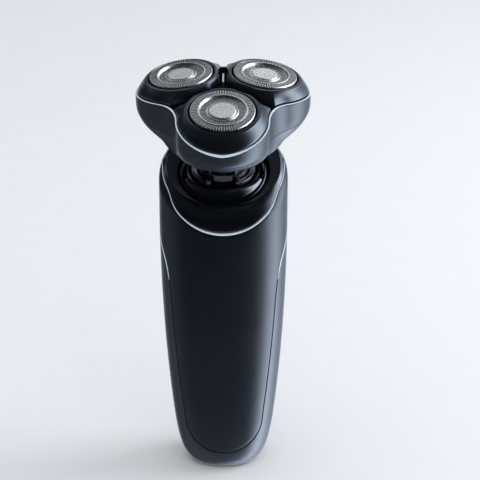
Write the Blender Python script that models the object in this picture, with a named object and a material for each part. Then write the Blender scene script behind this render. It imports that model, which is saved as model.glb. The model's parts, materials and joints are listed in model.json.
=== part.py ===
"""Rotary electric shaver: a tapered handle, a gimballed neck and a three-lobe shaving head.

Metres, +Z up, the front faces -Y, and the base stands on z = 0 with its centre at the origin.
Lengths in this file are written in millimetres and turned into metres by MM.
"""
import math

import bmesh
import bpy
import numpy as np
from mathutils import Matrix, Vector

MM = 0.001
WALL = 1.8
GAP = 0.24
AROUND = 40
HANDLE_POWER = 2.3
RIM_TILT = 32.0
RIM_CENTRE = (0.0, 0.0, 123.1)
BOWL_RADIUS = 17.6
BOWL_SHIFT = -2.0
SHROUD_LIP = 16.5
SHROUD_HOLE = 13.0
HEAD_PITCH = 14.0
HEAD_CENTRE = (0.0, -9.5, 157.0)
LOBE_TILT = 8.0
LOBE_OFFSET = 18.4
LOBE_RADIUS = 17.56
LOBE_INSET = 0.85
WAIST_FILLET = 15.25
HALF_GROOVE = 1.15
GUARD_RADIUS = 12.15
LIP_RADIUS = 14.2
DISC_RADIUS = 5.2
LOBE_OPENING = 12.85
BASE_EDGE_RADIUS = 23.48
SKIN_START = -10.09
SKIN_BEND = 2.89
SKIN_ROUND = 1.85
ACCENT_LOW = -9.12
ACCENT_RISE = 5.65
SHELL_END = -14.54
SHELL_DROP = 1.11
HEAD_END = -20.34
PIVOT_DEPTH = -41.0
GEAR_MODULE = 1.075
CENTRE_TEETH = 12
PLANET_TEETH = 20
LOBE_ANGLES = (-90.0, 30.0, 150.0)
MOTOR_RADIUS = 9.0
BATTERY_RADIUS = 7.0
BUTTON_HEIGHT = 72.0
SOCKET_HEIGHT = 9.5
SCREW_HEIGHTS = (24.0, 54.0)

# Height, half width, front and back of the handle's outside.
HANDLE = (
    (0.0, 10.8, -10.4, 10.6),
    (0.8, 13.1, -12.4, 12.6),
    (2.6, 15.0, -13.9, 14.1),
    (5.4, 16.6, -15.0, 15.2),
    (9.5, 17.9, -15.9, 16.1),
    (15.0, 19.05, -16.7, 17.0),
    (24.0, 20.3, -17.6, 18.0),
    (36.0, 21.6, -18.4, 18.9),
    (48.0, 22.65, -19.1, 19.7),
    (62.0, 23.6, -19.8, 20.4),
    (78.0, 24.35, -20.3, 20.9),
    (96.0, 24.8, -20.7, 21.3),
    (109.0, 24.85, -20.9, 21.4),
    (120.0, 24.8, -20.8, 21.2),
    (128.0, 24.4, -20.4, 20.7),
    (138.0, 23.3, -19.6, 19.8),
)

# The side seam between front cover and rear shell, as depth and height.
SEAM = (
    (-12.6, -6.0),
    (-12.7, 30.0),
    (-12.6, 60.0),
    (-12.3, 74.0),
    (-11.6, 81.0),
    (-10.0, 87.5),
    (-6.5, 92.5),
    (-1.5, 96.6),
    (4.0, 99.8),
    (10.0, 103.2),
    (16.0, 107.6),
    (24.0, 115.5),
    (34.0, 128.0),
)


def clear_scene():
    for item in list(bpy.data.objects):
        bpy.data.objects.remove(item, do_unlink=True)


def material(name, colour, metallic=0.0, roughness=0.4):
    made = bpy.data.materials.new(name)
    made.use_nodes = True
    shader = made.node_tree.nodes["Principled BSDF"]
    shader.inputs["Base Color"].default_value = (*colour, 1.0)
    shader.inputs["Metallic"].default_value = metallic
    shader.inputs["Roughness"].default_value = roughness
    made.diffuse_color = (*colour, 1.0)
    return made


def frame_matrix(origin, x_axis, y_axis, z_axis):
    columns = (x_axis, y_axis, z_axis, origin)
    return Matrix([[column[row] for column in columns] for row in range(3)] + [[0, 0, 0, 1]])


def tilted_frame(centre, degrees):
    """A frame at centre whose z leans towards the front by the angle."""
    turn = math.radians(degrees)
    up = Vector((0.0, -math.sin(turn), math.cos(turn)))
    back = Vector((0.0, math.cos(turn), math.sin(turn)))
    return frame_matrix(Vector(centre), Vector((1, 0, 0)), back, up)


HEAD = tilted_frame(HEAD_CENTRE, HEAD_PITCH)
RIM = tilted_frame(RIM_CENTRE, RIM_TILT)
BOWL = RIM @ Matrix.Translation((0, BOWL_SHIFT, 0))
NECK = HEAD @ Matrix.Translation((0, 0, PIVOT_DEPTH))


def lobe_frame(index):
    """A frame on one lobe's opening: x outward, z along the lobe's own axis."""
    angle = math.radians(LOBE_ANGLES[index])
    lean = math.radians(LOBE_TILT)
    outward = Vector((math.cos(angle), math.sin(angle), 0.0))
    along = Vector((-math.sin(angle), math.cos(angle), 0.0))
    radial = outward * math.cos(lean) - Vector((0, 0, 1)) * math.sin(lean)
    axis = Vector((0, 0, 1)) * math.cos(lean) + outward * math.sin(lean)
    return HEAD @ frame_matrix(outward * LOBE_OFFSET, radial, along, axis)


def add_object(name, points, faces, look, place=None, origin=None):
    """Makes a closed mesh object from points in millimetres."""
    matrix = place if place is not None else Matrix.Identity(4)
    world = [matrix @ Vector(point) for point in points]
    centre = Vector(origin) if origin is not None else Vector((0, 0, 0))
    mesh = bpy.data.meshes.new(name)
    mesh.from_pydata([(point - centre) * MM for point in world], [], faces)
    cleaned = bmesh.new()
    cleaned.from_mesh(mesh)
    bmesh.ops.recalc_face_normals(cleaned, faces=cleaned.faces)
    cleaned.to_mesh(mesh)
    cleaned.free()
    made = bpy.data.objects.new(name, mesh)
    made.location = centre * MM
    bpy.context.scene.collection.objects.link(made)
    if look is not None:
        mesh.materials.append(look)
    bpy.context.view_layer.update()
    return made


def smooth(item, degrees=35.0):
    for polygon in item.data.polygons:
        polygon.use_smooth = True
    item.data.set_sharp_from_angle(angle=math.radians(degrees))
    return item


def combine(item, cutter, operation, keep=False):
    """Applies one exact Boolean and removes the cutter unless it is kept."""
    modifier = item.modifiers.new("shape", "BOOLEAN")
    modifier.operation = operation
    modifier.solver = "EXACT"
    modifier.object = cutter
    bpy.context.view_layer.update()
    graph = bpy.context.evaluated_depsgraph_get()
    mesh = bpy.data.meshes.new_from_object(item.evaluated_get(graph))
    item.modifiers.remove(modifier)
    old = item.data
    item.data = mesh
    bpy.data.meshes.remove(old)
    if not keep:
        bpy.data.objects.remove(cutter, do_unlink=True)
    return item


def copy_of(item, name, look):
    made = bpy.data.objects.new(name, item.data.copy())
    made.location = item.location
    bpy.context.scene.collection.objects.link(made)
    made.data.materials.clear()
    made.data.materials.append(look)
    bpy.context.view_layer.update()
    return made


def loft(name, rings, look, place=None, origin=None):
    """A solid through rings of equal length, capped at both ends."""
    count = len(rings[0])
    points = [point for ring in rings for point in ring]
    faces = []
    for row in range(len(rings) - 1):
        for step in range(count):
            after = (step + 1) % count
            low = row * count
            high = low + count
            faces.append((low + step, low + after, high + after, high + step))
    faces.append(tuple(reversed(range(count))))
    top = (len(rings) - 1) * count
    faces.append(tuple(range(top, top + count)))
    return add_object(name, points, faces, look, place, origin)


def hoop(name, loops, look, place=None, origin=None):
    """A ring-shaped solid: each loop is the section at one angle."""
    count = len(loops[0])
    points = [point for loop in loops for point in loop]
    faces = []
    for row in range(len(loops)):
        following = ((row + 1) % len(loops)) * count
        for step in range(count):
            after = (step + 1) % count
            faces.append(
                (row * count + step, row * count + after, following + after, following + step)
            )
    return add_object(name, points, faces, look, place, origin)


def ring_solid(name, profile, look, place=None, origin=None, steps=40):
    """A closed profile of (radius, height) turned about z."""
    loops = []
    for step in range(steps):
        angle = math.tau * step / steps
        loops.append(
            [(r * math.cos(angle), r * math.sin(angle), height) for r, height in profile]
        )
    return hoop(name, loops, look, place, origin)


def turned(name, profile, look, place=None, origin=None, steps=32):
    """A solid of revolution from (radius, height) points, capped flat at both ends."""
    rings = []
    for radius, height in profile:
        ring = []
        for step in range(steps):
            angle = math.tau * step / steps
            ring.append((radius * math.cos(angle), radius * math.sin(angle), height))
        rings.append(ring)
    return loft(name, rings, look, place, origin)


def prism(name, outline, low, high, look, place=None, origin=None):
    """A flat outline in x and y, raised from low to high."""
    rings = [[(x, y, height) for x, y in outline] for height in (low, high)]
    return loft(name, rings, look, place, origin)


def box(name, low, high, look, place=None, origin=None):
    outline = ((low[0], low[1]), (high[0], low[1]), (high[0], high[1]), (low[0], high[1]))
    return prism(name, outline, low[2], high[2], look, place, origin)


def rounded_outline(half_x, half_y, radius, steps=4):
    outline = []
    corners = ((1, 1, 0), (-1, 1, 90), (-1, -1, 180), (1, -1, 270))
    for side_x, side_y, start in corners:
        for step in range(steps + 1):
            angle = math.radians(start + 90.0 * step / steps)
            outline.append(
                (
                    side_x * (half_x - radius) + radius * math.cos(angle),
                    side_y * (half_y - radius) + radius * math.sin(angle),
                )
            )
    return outline


def view_frame(axis):
    """Frames that turn an (x, y) outline into a cutter seen from the side or the front."""
    if axis == "side":
        return frame_matrix(Vector(), Vector((0, 1, 0)), Vector((0, 0, 1)), Vector((1, 0, 0)))
    return frame_matrix(Vector(), Vector((1, 0, 0)), Vector((0, 0, 1)), Vector((0, -1, 0)))


def handle_ring(height, half, front, back, inset=0.0, steps=AROUND):
    ring = []
    middle = (front + back) / 2
    reach = (back - front) / 2 - inset
    half -= inset
    for step in range(steps):
        angle = math.tau * (step + 0.5) / steps
        across = abs(math.cos(angle)) ** (2 / HANDLE_POWER) * half
        along = abs(math.sin(angle)) ** (2 / HANDLE_POWER) * reach
        ring.append(
            (
                math.copysign(across, math.cos(angle)),
                middle + math.copysign(along, math.sin(angle)),
                height,
            )
        )
    return ring


def handle_solid(name, inset=0.0, floor=0.0):
    rings = []
    for height, half, front, back in HANDLE:
        if height < floor:
            continue
        rings.append(handle_ring(height, half, front, back, inset))
    if floor:
        spans = list(zip(*HANDLE))
        values = [float(np.interp(floor, spans[0], span)) for span in spans[1:]]
        rings.insert(0, handle_ring(floor, *values, inset))
    return loft(name, rings, None)


def rim_cutter(name, depth=0.0):
    """Everything above the sloping rim, lowered by depth."""
    return box(name, (-60, -60, -depth), (60, 60, 60), None, RIM)


def handle_shell():
    shell = handle_solid("shell")
    combine(shell, handle_solid("hollow", WALL, 2.2), "DIFFERENCE")
    combine(shell, rim_cutter("top"), "DIFFERENCE")
    return shell


def seam_outline(offset):
    outline = [(depth + offset, height - offset * 0.6) for depth, height in SEAM]
    return outline + [(34.0, 170.0), (-50.0, 170.0), (-50.0, -6.0)]


def bottom_outline(offset):
    """The front cover's rounded lower end, seen from the front."""
    outline = []
    for step in range(17):
        angle = math.pi + math.pi * step / 16
        outline.append(
            ((15.4 + offset) * math.cos(angle), 23.0 + (15.1 + offset) * math.sin(angle))
        )
    return outline + [(50.0, 23.0), (50.0, 170.0), (-50.0, 170.0), (-50.0, 23.0)]


def front_zone(name, offset):
    zone = prism(name, seam_outline(offset), -50, 50, None, view_frame("side"))
    lower = prism("lower", bottom_outline(offset), -50, 50, None, view_frame("front"))
    return combine(zone, lower, "INTERSECT")


def collar_outline(extra):
    """The arched lower edge of the collar, seen from the front."""
    outline = []
    for step in range(21):
        angle = math.pi + math.pi * step / 20
        outline.append(
            ((22.7 + extra * 0.6) * math.cos(angle), 124.2 + (21.6 + extra) * math.sin(angle))
        )
    wide = 22.7 + extra * 0.6
    return outline + [(wide, 170.0), (-wide, 170.0)]


def collar_zone(name, extra):
    return prism(name, collar_outline(extra), 0.5, 50, None, view_frame("front"))


def band_outline(half):
    """The side trim's strip along the seam, seen from the side."""
    chosen = [point for point in SEAM if 79.0 < point[1] < 104.0]
    left = [(depth - half, height + half * 0.6) for depth, height in chosen]
    right = [(depth + half, height - half * 0.6) for depth, height in chosen]
    return left + right[::-1]


def band_zone(name, half, side):
    near, far = (1.0, 50.0) if side > 0 else (-50.0, -1.0)
    return prism(name, band_outline(half), near, far, None, view_frame("side"))


def handle_pieces(looks):
    shell = handle_shell()
    rear = copy_of(shell, "rear_shell", looks["shell"])
    combine(rear, front_zone("zone", GAP / 2), "DIFFERENCE")
    front = copy_of(shell, "front_cover", looks["panel"])
    combine(front, front_zone("zone", -GAP / 2), "INTERSECT")
    combine(front, collar_zone("zone", 1.3), "DIFFERENCE")
    for side in (-1, 1):
        combine(rear, band_zone("zone", 0.75, side), "DIFFERENCE")
        combine(front, band_zone("zone", 0.75, side), "DIFFERENCE")
    trim = copy_of(shell, "front_trim", looks["accent"])
    combine(trim, collar_zone("zone", 1.1), "INTERSECT")
    combine(trim, collar_zone("zone", 0.1), "DIFFERENCE")
    collar = copy_of(shell, "collar", looks["gloss"])
    combine(collar, collar_zone("zone", -0.1), "INTERSECT")
    for side, word in ((-1, "left"), (1, "right")):
        strip = copy_of(shell, "side_trim_" + word, looks["accent"])
        combine(strip, band_zone("zone", 0.5, side), "INTERSECT")
    bpy.data.objects.remove(shell, do_unlink=True)
    return rear, front


def bore(item, radius, low, high, place, steps=20):
    cutter = turned("bore", ((radius, low), (radius, high)), None, place, steps=steps)
    combine(item, cutter, "DIFFERENCE")


def rear_frame(height, depth=0.0):
    """A frame on the back of the handle whose z points out of the back."""
    return frame_matrix(
        Vector((0, depth, height)), Vector((-1, 0, 0)), Vector((0, 0, 1)), Vector((0, 1, 0))
    )


def rear_openings(rear):
    bore(rear, 7.4, 5, 40, rear_frame(BUTTON_HEIGHT), 28)
    cutter = prism(
        "socket", rounded_outline(5.2, 4.0, 3.0), 5, 40, None,
        rear_frame(SOCKET_HEIGHT),
    )
    combine(rear, cutter, "DIFFERENCE")
    for height in SCREW_HEIGHTS:
        bore(rear, 1.5, 5, 40, rear_frame(height), 12)


def button_parts(looks):
    """The round power button, its bezel and the switch behind it."""
    place = rear_frame(BUTTON_HEIGHT)
    ring_solid(
        "button_bezel",
        ((7.2, 16.5), (7.2, 21.6), (6.9, 21.9), (6.2, 21.7), (6.2, 16.5)),
        looks["accent"],
        place,
        steps=28,
    )
    turned(
        "power_button",
        ((5.9, 17.6), (5.9, 21.2), (5.3, 21.7), (2.0, 21.3)),
        looks["gloss"],
        place,
        (0, 20.0, BUTTON_HEIGHT),
        28,
    )
    box("switch_body", (-3.0, -3.0, 11.1), (3.0, 3.0, 15.9), looks["dark"], place)


def neck_dish(looks):
    """The matt sloping plate between the rim and the bowl."""
    dish = handle_solid("neck_dish", WALL + 0.3, 60.0)
    combine(dish, rim_cutter("top", 1.0), "DIFFERENCE")
    slab = box("slab", (-90, -90, -90), (90, 90, -2.6), None, RIM)
    combine(dish, slab, "DIFFERENCE")
    bore(dish, BOWL_RADIUS + 0.3, -8, 8, BOWL, 40)
    dish.data.materials.append(looks["matt"])
    return dish


def neck_bowl(looks):
    """The fixed cup under the neck, with a side window for each gimbal pin."""
    profile = (
        (BOWL_RADIUS, -2.9),
        (BOWL_RADIUS, -8.5),
        (BOWL_RADIUS - 3.6, -14.6),
        (2.5, -14.6),
        (2.5, -13.4),
        (BOWL_RADIUS - 4.4, -13.4),
        (BOWL_RADIUS - 0.8, -8.0),
        (BOWL_RADIUS - 0.8, -2.9),
    )
    bowl = ring_solid("neck_bowl", profile, looks["gloss"], BOWL, steps=40)
    bore(bowl, 7.5, -18.0, -5.0, NECK, 28)
    for side in (-1, 1):
        window = box(
            "window", (side * 17.0 - 3, -3.4, -8.6), (side * 17.0 + 3, 3.4, -3.9), None, BOWL
        )
        combine(bowl, window, "DIFFERENCE")
    return bowl


def shroud_section(turn, into_neck):
    """Radius and height in the neck's frame: a convex band from the cup's lip to the coupling."""
    lip = into_neck @ Vector((SHROUD_LIP * math.cos(turn), SHROUD_LIP * math.sin(turn), -1.8))
    start = Vector((math.hypot(lip.x, lip.y), lip.z))
    finish = Vector((SHROUD_HOLE, 3.4))
    chord = (finish - start).normalized()
    middle = (start + finish) / 2 + Vector((chord.y, -chord.x)) * 1.6
    upper = []
    lower = []
    for step in range(6):
        t = step / 5
        point = start * (1 - t) ** 2 + middle * 2 * t * (1 - t) + finish * t**2
        along = ((middle - start) * (1 - t) + (finish - middle) * t).normalized()
        upper.append(point)
        lower.append(point - Vector((along.y, -along.x)) * 0.8)
    return math.atan2(lip.y, lip.x), upper, lower


def neck_shroud(looks):
    """The gloss band that closes the cup's mouth round the coupling, with a notch over each pin."""
    into_neck = NECK.inverted() @ BOWL
    into_bowl = BOWL.inverted() @ NECK
    loops = []
    for step in range(48):
        turn = math.tau * step / 48
        heading, upper, lower = shroud_section(turn, into_neck)
        loop = [Vector((r * math.cos(turn), r * math.sin(turn), -3.4)) for r in (15.7, SHROUD_LIP)]
        for radius, height in upper + lower[:1:-1]:
            flat = Vector((radius * math.cos(heading), radius * math.sin(heading), height))
            loop.append(into_bowl @ flat)
        loops.append(loop)
    shroud = hoop("neck_shroud", loops, looks["gloss"], BOWL)
    for side in (-1, 1):
        outline = [(side * x, y) for x, y in ((13.9, -4.2), (15.5, -4.8), (15.5, 4.8), (13.9, 4.2))]
        notch = prism("notch", outline, 0.5, 7.0, None, NECK)
        combine(shroud, notch, "DIFFERENCE")
    return shroud


def drive_train(looks):
    """Motor, bracket and shaft on the head's own axis, below the neck."""
    turned(
        "motor",
        ((MOTOR_RADIUS - 0.8, -77.0), (MOTOR_RADIUS, -76.2), (MOTOR_RADIUS, -55.8),
         (MOTOR_RADIUS - 0.8, -55.0), (3.0, -55.0), (3.0, -53.8)),
        looks["steel"],
        HEAD,
        steps=28,
    )
    ring_solid(
        "motor_bracket",
        ((9.3, -66.0), (11.4, -66.0), (11.4, -59.0), (9.3, -59.0)),
        looks["inner"],
        HEAD,
        steps=28,
    )
    axis_point = HEAD @ Vector((0, 0, -49.0))
    turned(
        "motor_shaft",
        ((1.2, -53.4), (1.2, -49.0), (2.6, -49.0), (2.6, -45.2)),
        looks["brass"],
        HEAD,
        axis_point,
        16,
    )


def chassis(looks):
    """The cradle that holds the battery and carries the circuit board."""
    outline = []
    for step in range(13):
        angle = math.radians(-20 + 220 * step / 12)
        outline.append((9.0 * math.cos(angle), -1.5 + 9.0 * math.sin(angle)))
    for step in range(13):
        angle = math.radians(200 - 220 * step / 12)
        outline.append((7.4 * math.cos(angle), -1.5 + 7.4 * math.sin(angle)))
    cradle = prism("chassis", outline, 14.0, 70.0, looks["inner"])
    plate = box("plate", (-12.0, 7.0, 12.0), (12.0, 9.0, 77.0), None)
    combine(cradle, plate, "UNION")
    return cradle


def power_parts(looks):
    place = Matrix.Translation((0, -1.5, 0))
    turned(
        "battery",
        ((BATTERY_RADIUS - 0.5, 15.5), (BATTERY_RADIUS, 16.0), (BATTERY_RADIUS, 63.0),
         (BATTERY_RADIUS - 0.5, 63.5), (2.6, 63.5), (2.6, 64.6)),
        looks["battery"],
        place,
        steps=24,
    )
    box("battery_contact_top", (-3.0, -4.0, 64.9), (3.0, 4.0, 65.5), looks["brass"], place)
    box("battery_contact_bottom", (-3.0, -4.0, 14.6), (3.0, 4.0, 15.2), looks["brass"], place)
    box("circuit_board", (-9.5, 9.4, 17.0), (9.5, 10.8, 77.0), looks["board"])
    box("control_chip", (-4.0, 11.0, 42.0), (4.0, 12.2, 50.0), looks["dark"])
    box("charge_coil", (-5.0, 11.0, 30.0), (5.0, 14.0, 38.0), looks["dark"])


def socket_parts(looks):
    """The charging inlet low on the back, with two pins."""
    place = rear_frame(SOCKET_HEIGHT)
    socket = prism("charge_socket", rounded_outline(4.9, 3.7, 2.7), 9.0, 15.4, looks["dark"], place)
    pocket = prism("pocket", rounded_outline(4.0, 2.8, 2.0), 10.6, 30.0, None, place)
    combine(socket, pocket, "DIFFERENCE")
    for side, word in ((-1, "left"), (1, "right")):
        turned(
            "socket_pin_" + word,
            ((0.6, 10.8), (0.6, 12.8), (0.35, 13.2)),
            looks["brass"],
            place @ Matrix.Translation((side * 1.6, 0, 0)),
            steps=12,
        )


def case_screws(looks):
    for height, word in zip(SCREW_HEIGHTS, ("lower", "upper")):
        place = rear_frame(height)
        screw = turned(
            "case_screw_" + word,
            ((0.8, 13.2), (0.8, 17.2), (1.3, 17.2), (1.3, 18.6)),
            looks["steel"],
            place,
            steps=12,
        )
        slot = box("slot", (-1.0, -0.2, 18.2), (1.0, 0.2, 19.5), None, place)
        combine(screw, slot, "DIFFERENCE")


def neck_moving(looks):
    """The gimbal ring and the coupling that carries the head."""
    pivot = NECK @ Vector((0, 0, 0))
    side_place = NECK @ Matrix.Rotation(math.radians(90), 4, "Y")
    back_place = NECK @ Matrix.Rotation(math.radians(-90), 4, "X")
    yoke = ring_solid(
        "neck_yoke",
        ((12.4, -1.2), (13.45, -1.2), (13.45, 0.95), (12.4, 0.95)),
        looks["matt"],
        NECK,
        pivot,
        40,
    )
    for side in (-1, 1):
        near, far = sorted((side * 13.0, side * 15.9))
        pin = turned("pin", ((0.85, near), (0.85, far)), None, side_place, steps=12)
        combine(yoke, pin, "UNION")
        near, far = sorted((side * 11.0, side * 16.0))
        hole = turned("hole", ((0.7, near), (0.7, far)), None, back_place, steps=12)
        combine(yoke, hole, "DIFFERENCE")
    mount = ring_solid(
        "head_mount",
        (
            (3.2, -3.0), (11.0, -3.0), (11.8, -1.6), (11.8, 2.3), (12.3, 2.9), (12.3, 5.0),
            (10.2, 5.0), (10.2, -1.4), (3.2, -1.4),
        ),
        looks["gloss"],
        NECK,
        pivot,
        40,
    )
    for side in (-1, 1):
        near, far = sorted((side * 11.4, side * 13.4))
        pin = turned("pin", ((0.5, near), (0.5, far)), None, back_place, steps=12)
        combine(mount, pin, "UNION")
    notch = box("notch", (-6.8, -14.0, 2.7), (6.8, -8.0, 6.0), None, NECK)
    combine(mount, notch, "DIFFERENCE")
    for side, word in ((-1, "left"), (1, "right")):
        box(
            "latch_" + word,
            (side * 5.6 - 0.9, -10.75, 2.95),
            (side * 5.6 + 0.9, -9.2, 5.9),
            looks["gloss"],
            NECK,
            NECK @ Vector((side * 5.6, -10.0, 4.2)),
        )
    ring_solid(
        "neck_seal",
        ((1.8, -8.4), (7.2, -8.8), (7.2, -9.8), (1.8, -9.4)),
        looks["rubber"],
        NECK,
        steps=28,
    )


def trefoil_radius(angle):
    """The head's outline as a distance from its axis, at an angle in degrees."""
    turn = (angle - LOBE_ANGLES[0] + 60.0) % 120.0 - 60.0
    direction = Vector((math.cos(math.radians(turn)), math.sin(math.radians(abs(turn)))))
    reach = LOBE_RADIUS + WAIST_FILLET
    valley = (LOBE_OFFSET + math.sqrt(LOBE_OFFSET**2 + 4 * (reach**2 - LOBE_OFFSET**2))) / 2
    fillet = Vector((valley * math.cos(math.radians(60)), valley * math.sin(math.radians(60))))
    lobe = Vector((LOBE_OFFSET, 0.0))
    touch = lobe + (fillet - lobe) * LOBE_RADIUS / reach
    if abs(turn) <= math.degrees(math.atan2(touch.y, touch.x)):
        along = direction.dot(lobe)
        return along + math.sqrt(max(along**2 - lobe.length_squared + LOBE_RADIUS**2, 0.0))
    along = direction.dot(fillet)
    return along - math.sqrt(max(along**2 - fillet.length_squared + WAIST_FILLET**2, 0.0))


def waist_share(angle):
    """0 at a lobe's tip and 1 at the waist between two lobes."""
    turn = (angle - LOBE_ANGLES[0] + 60.0) % 120.0 - 60.0
    return 0.5 - 0.5 * math.cos(math.radians(3 * turn))


def skin_radius(angle, depth):
    """The head's outside radius, which rounds in from the trefoil to the round lower edge."""
    fall = min(max((SKIN_START - depth) / (SKIN_START - HEAD_END), 0.0), 1.0)
    share = 1 - (1 - fall**SKIN_BEND) ** (1 / SKIN_ROUND)
    return trefoil_radius(angle) * (1 - share) + BASE_EDGE_RADIUS * share


def accent_height(angle):
    return ACCENT_LOW + ACCENT_RISE * waist_share(angle) ** 0.68


def shell_end(angle):
    """The seam between the head's outer and lower shells."""
    return SHELL_END - SHELL_DROP * waist_share(angle) ** 1.57


def head_angles(steps=60):
    return [360.0 * step / steps - 90.0 for step in range(steps)]


def around_head(profile_at, steps=60):
    loops = []
    for angle in head_angles(steps):
        turn = math.radians(angle)
        loops.append(
            [(r * math.cos(turn), r * math.sin(turn), height) for r, height in profile_at(angle)]
        )
    return loops


def shell_profile(angle):
    top = accent_height(angle) - 0.5
    end = shell_end(angle)
    middle = (top + end) / 2
    outer = [(skin_radius(angle, h) - 0.05, h) for h in (top, middle, end)]
    inner = [(r - wall, h) for (r, h), wall in zip(outer[::-1], (1.5, 1.5, 0.6))]
    return outer + inner


def accent_profile(angle):
    low = accent_height(angle) - 0.35
    high = low + 0.75
    outer = skin_radius(angle, low)
    return ((outer, low), (outer, high), (outer - 0.65, high), (outer - 0.65, low))


def base_profile(angle):
    top = shell_end(angle) - 0.25
    heights = (top, (top + HEAD_END) / 2 - 0.4, HEAD_END + 1.2, HEAD_END + 0.4)
    rim = [(skin_radius(angle, height) - 0.25, height) for height in heights]
    floor = [(BASE_EDGE_RADIUS, HEAD_END), (9.8, HEAD_END), (9.8, -40.6), (7.0, -40.6)]
    within = HEAD_END + 1.4
    shoulder = skin_radius(angle, HEAD_END + 2.1) - 2.2
    inside = [
        (7.0, within),
        (BASE_EDGE_RADIUS - 1.8, within),
        (shoulder, HEAD_END + 2.7),
        (skin_radius(angle, top) - 1.8, top),
    ]
    return rim + floor + inside


def head_shells(looks):
    hoop("head_shell", around_head(shell_profile), looks["panel"], HEAD)
    hoop("head_accent", around_head(accent_profile), looks["accent"], HEAD)
    start = HEAD @ Vector((0, 0, -30.0))
    base = hoop("head_base", around_head(base_profile), looks["shell"], HEAD, start)
    window = box("window", (-4.6, -12.0, -33.6), (4.6, -8.2, -30.6), None, HEAD)
    combine(base, window, "DIFFERENCE")
    return base


def gear_outline(teeth, backlash=0.0, start=0.0):
    """A spur gear with straight-sided shallow teeth; a tooth points at the start angle."""
    pitch = GEAR_MODULE * teeth / 2
    pattern = ((-0.25, -0.85), (-0.13, 0.6), (0.13, 0.6), (0.25, -0.85))
    outline = []
    for tooth in range(teeth):
        for share, height in pattern:
            angle = math.radians(start) + math.tau * (tooth + share * 0.82) / teeth
            radius = pitch + height * GEAR_MODULE - backlash
            outline.append((radius * math.cos(angle), radius * math.sin(angle)))
    return outline


def spindle_parts(looks):
    spindle = prism(
        "drive_spindle", gear_outline(CENTRE_TEETH, 0.05, LOBE_ANGLES[0]), -15.4, -12.4,
        looks["polymer"], HEAD, HEAD @ Vector((0, 0, -14.0)),
    )
    rod = turned("rod", ((1.6, -44.6), (1.6, -13.0), (1.6, -11.6)), None, HEAD, steps=16)
    combine(spindle, rod, "UNION")
    reach = GEAR_MODULE * (CENTRE_TEETH + PLANET_TEETH) / 2
    for index, angle in enumerate(LOBE_ANGLES):
        turn = math.radians(angle)
        place = HEAD @ Matrix.Translation((reach * math.cos(turn), reach * math.sin(turn), 0))
        facing = angle + 180.0 + 180.0 / PLANET_TEETH
        planet = prism(
            "planet_gear_%d" % (index + 1), gear_outline(PLANET_TEETH, 0.05, facing), -15.4, -12.4,
            looks["polymer"], place, place @ Vector((0, 0, -14.0)),
        )
        post = turned("post", ((1.7, -16.6), (1.7, -14.0), (1.7, -9.6)), None, place, steps=12)
        combine(planet, post, "UNION")


def head_frames(looks):
    """The gear plate under the gears and the retaining frame over them."""
    reach = GEAR_MODULE * (CENTRE_TEETH + PLANET_TEETH) / 2
    def plate(name, inset, low, high, hole, centre_hole, look):
        outline = []
        for angle in head_angles(48):
            radius = trefoil_radius(angle) - inset
            outline.append(
                (radius * math.cos(math.radians(angle)), radius * math.sin(math.radians(angle)))
            )
        made = prism(name, outline, low, high, look, HEAD)
        for angle in LOBE_ANGLES:
            turn = math.radians(angle)
            place = HEAD @ Matrix.Translation((reach * math.cos(turn), reach * math.sin(turn), 0))
            bore(made, hole, low - 2, high + 2, place, 24)
        bore(made, centre_hole, low - 2, high + 2, HEAD, 20)
        return made
    plate("gear_plate", 8.4, -17.2, -15.9, 2.1, 2.1, looks["inner"])
    frame = plate("retaining_frame", 3.4, -11.4, -10.4, 3.2, 2.0, looks["dark"])
    return frame


def lobe_outline(turn, radius, side, facet):
    """Distance from a lobe's centre to its edge, at an angle from its outward direction."""
    direction = Vector((math.cos(turn), math.sin(abs(turn))))
    reach = LOBE_RADIUS + WAIST_FILLET
    found = radius
    if abs(turn) > math.radians(90.3):
        fillet = Vector((-0.15, reach))
        along = direction.dot(fillet)
        inside = along**2 - fillet.length_squared + (reach - radius) ** 2
        found = along - math.sqrt(inside) if inside > 0 and along > 0 else 99.0
    towards = math.cos(abs(turn) - math.radians(150))
    if towards > 0.05:
        found = min(found, side / towards)
    if -direction.x > 0.05:
        found = min(found, facet / -direction.x)
    return found


def lobe_angles():
    """Angles round a lobe, closer together at the corners."""
    half = [0, 15, 30, 45, 60, 75, 90, 100, 107, 111.5, 116, 124, 134, 146, 158, 166, 172, 180]
    return [math.radians(a) for a in half] + [math.radians(-a) for a in half[-2:0:-1]]


def lobe_foot(turn, index, into):
    """The lobe's lower edge, just over the accent line, in the lobe's own frame."""
    side = LOBE_OFFSET * math.sin(math.radians(60)) - HALF_GROOVE
    low = lobe_outline(turn, LOBE_RADIUS - LOBE_INSET, side, 15.4)
    heading = math.radians(LOBE_ANGLES[index])
    outward = Vector((math.cos(heading), math.sin(heading)))
    along = Vector((-outward.y, outward.x))
    flat = outward * (LOBE_OFFSET + low * math.cos(turn)) + along * low * math.sin(turn)
    height = accent_height(math.degrees(math.atan2(flat.y, flat.x))) + 0.2
    if flat.length < 14.0:
        height = ACCENT_LOW + ACCENT_RISE + 0.2
    return into @ Vector((flat.x, flat.y, height))


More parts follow.
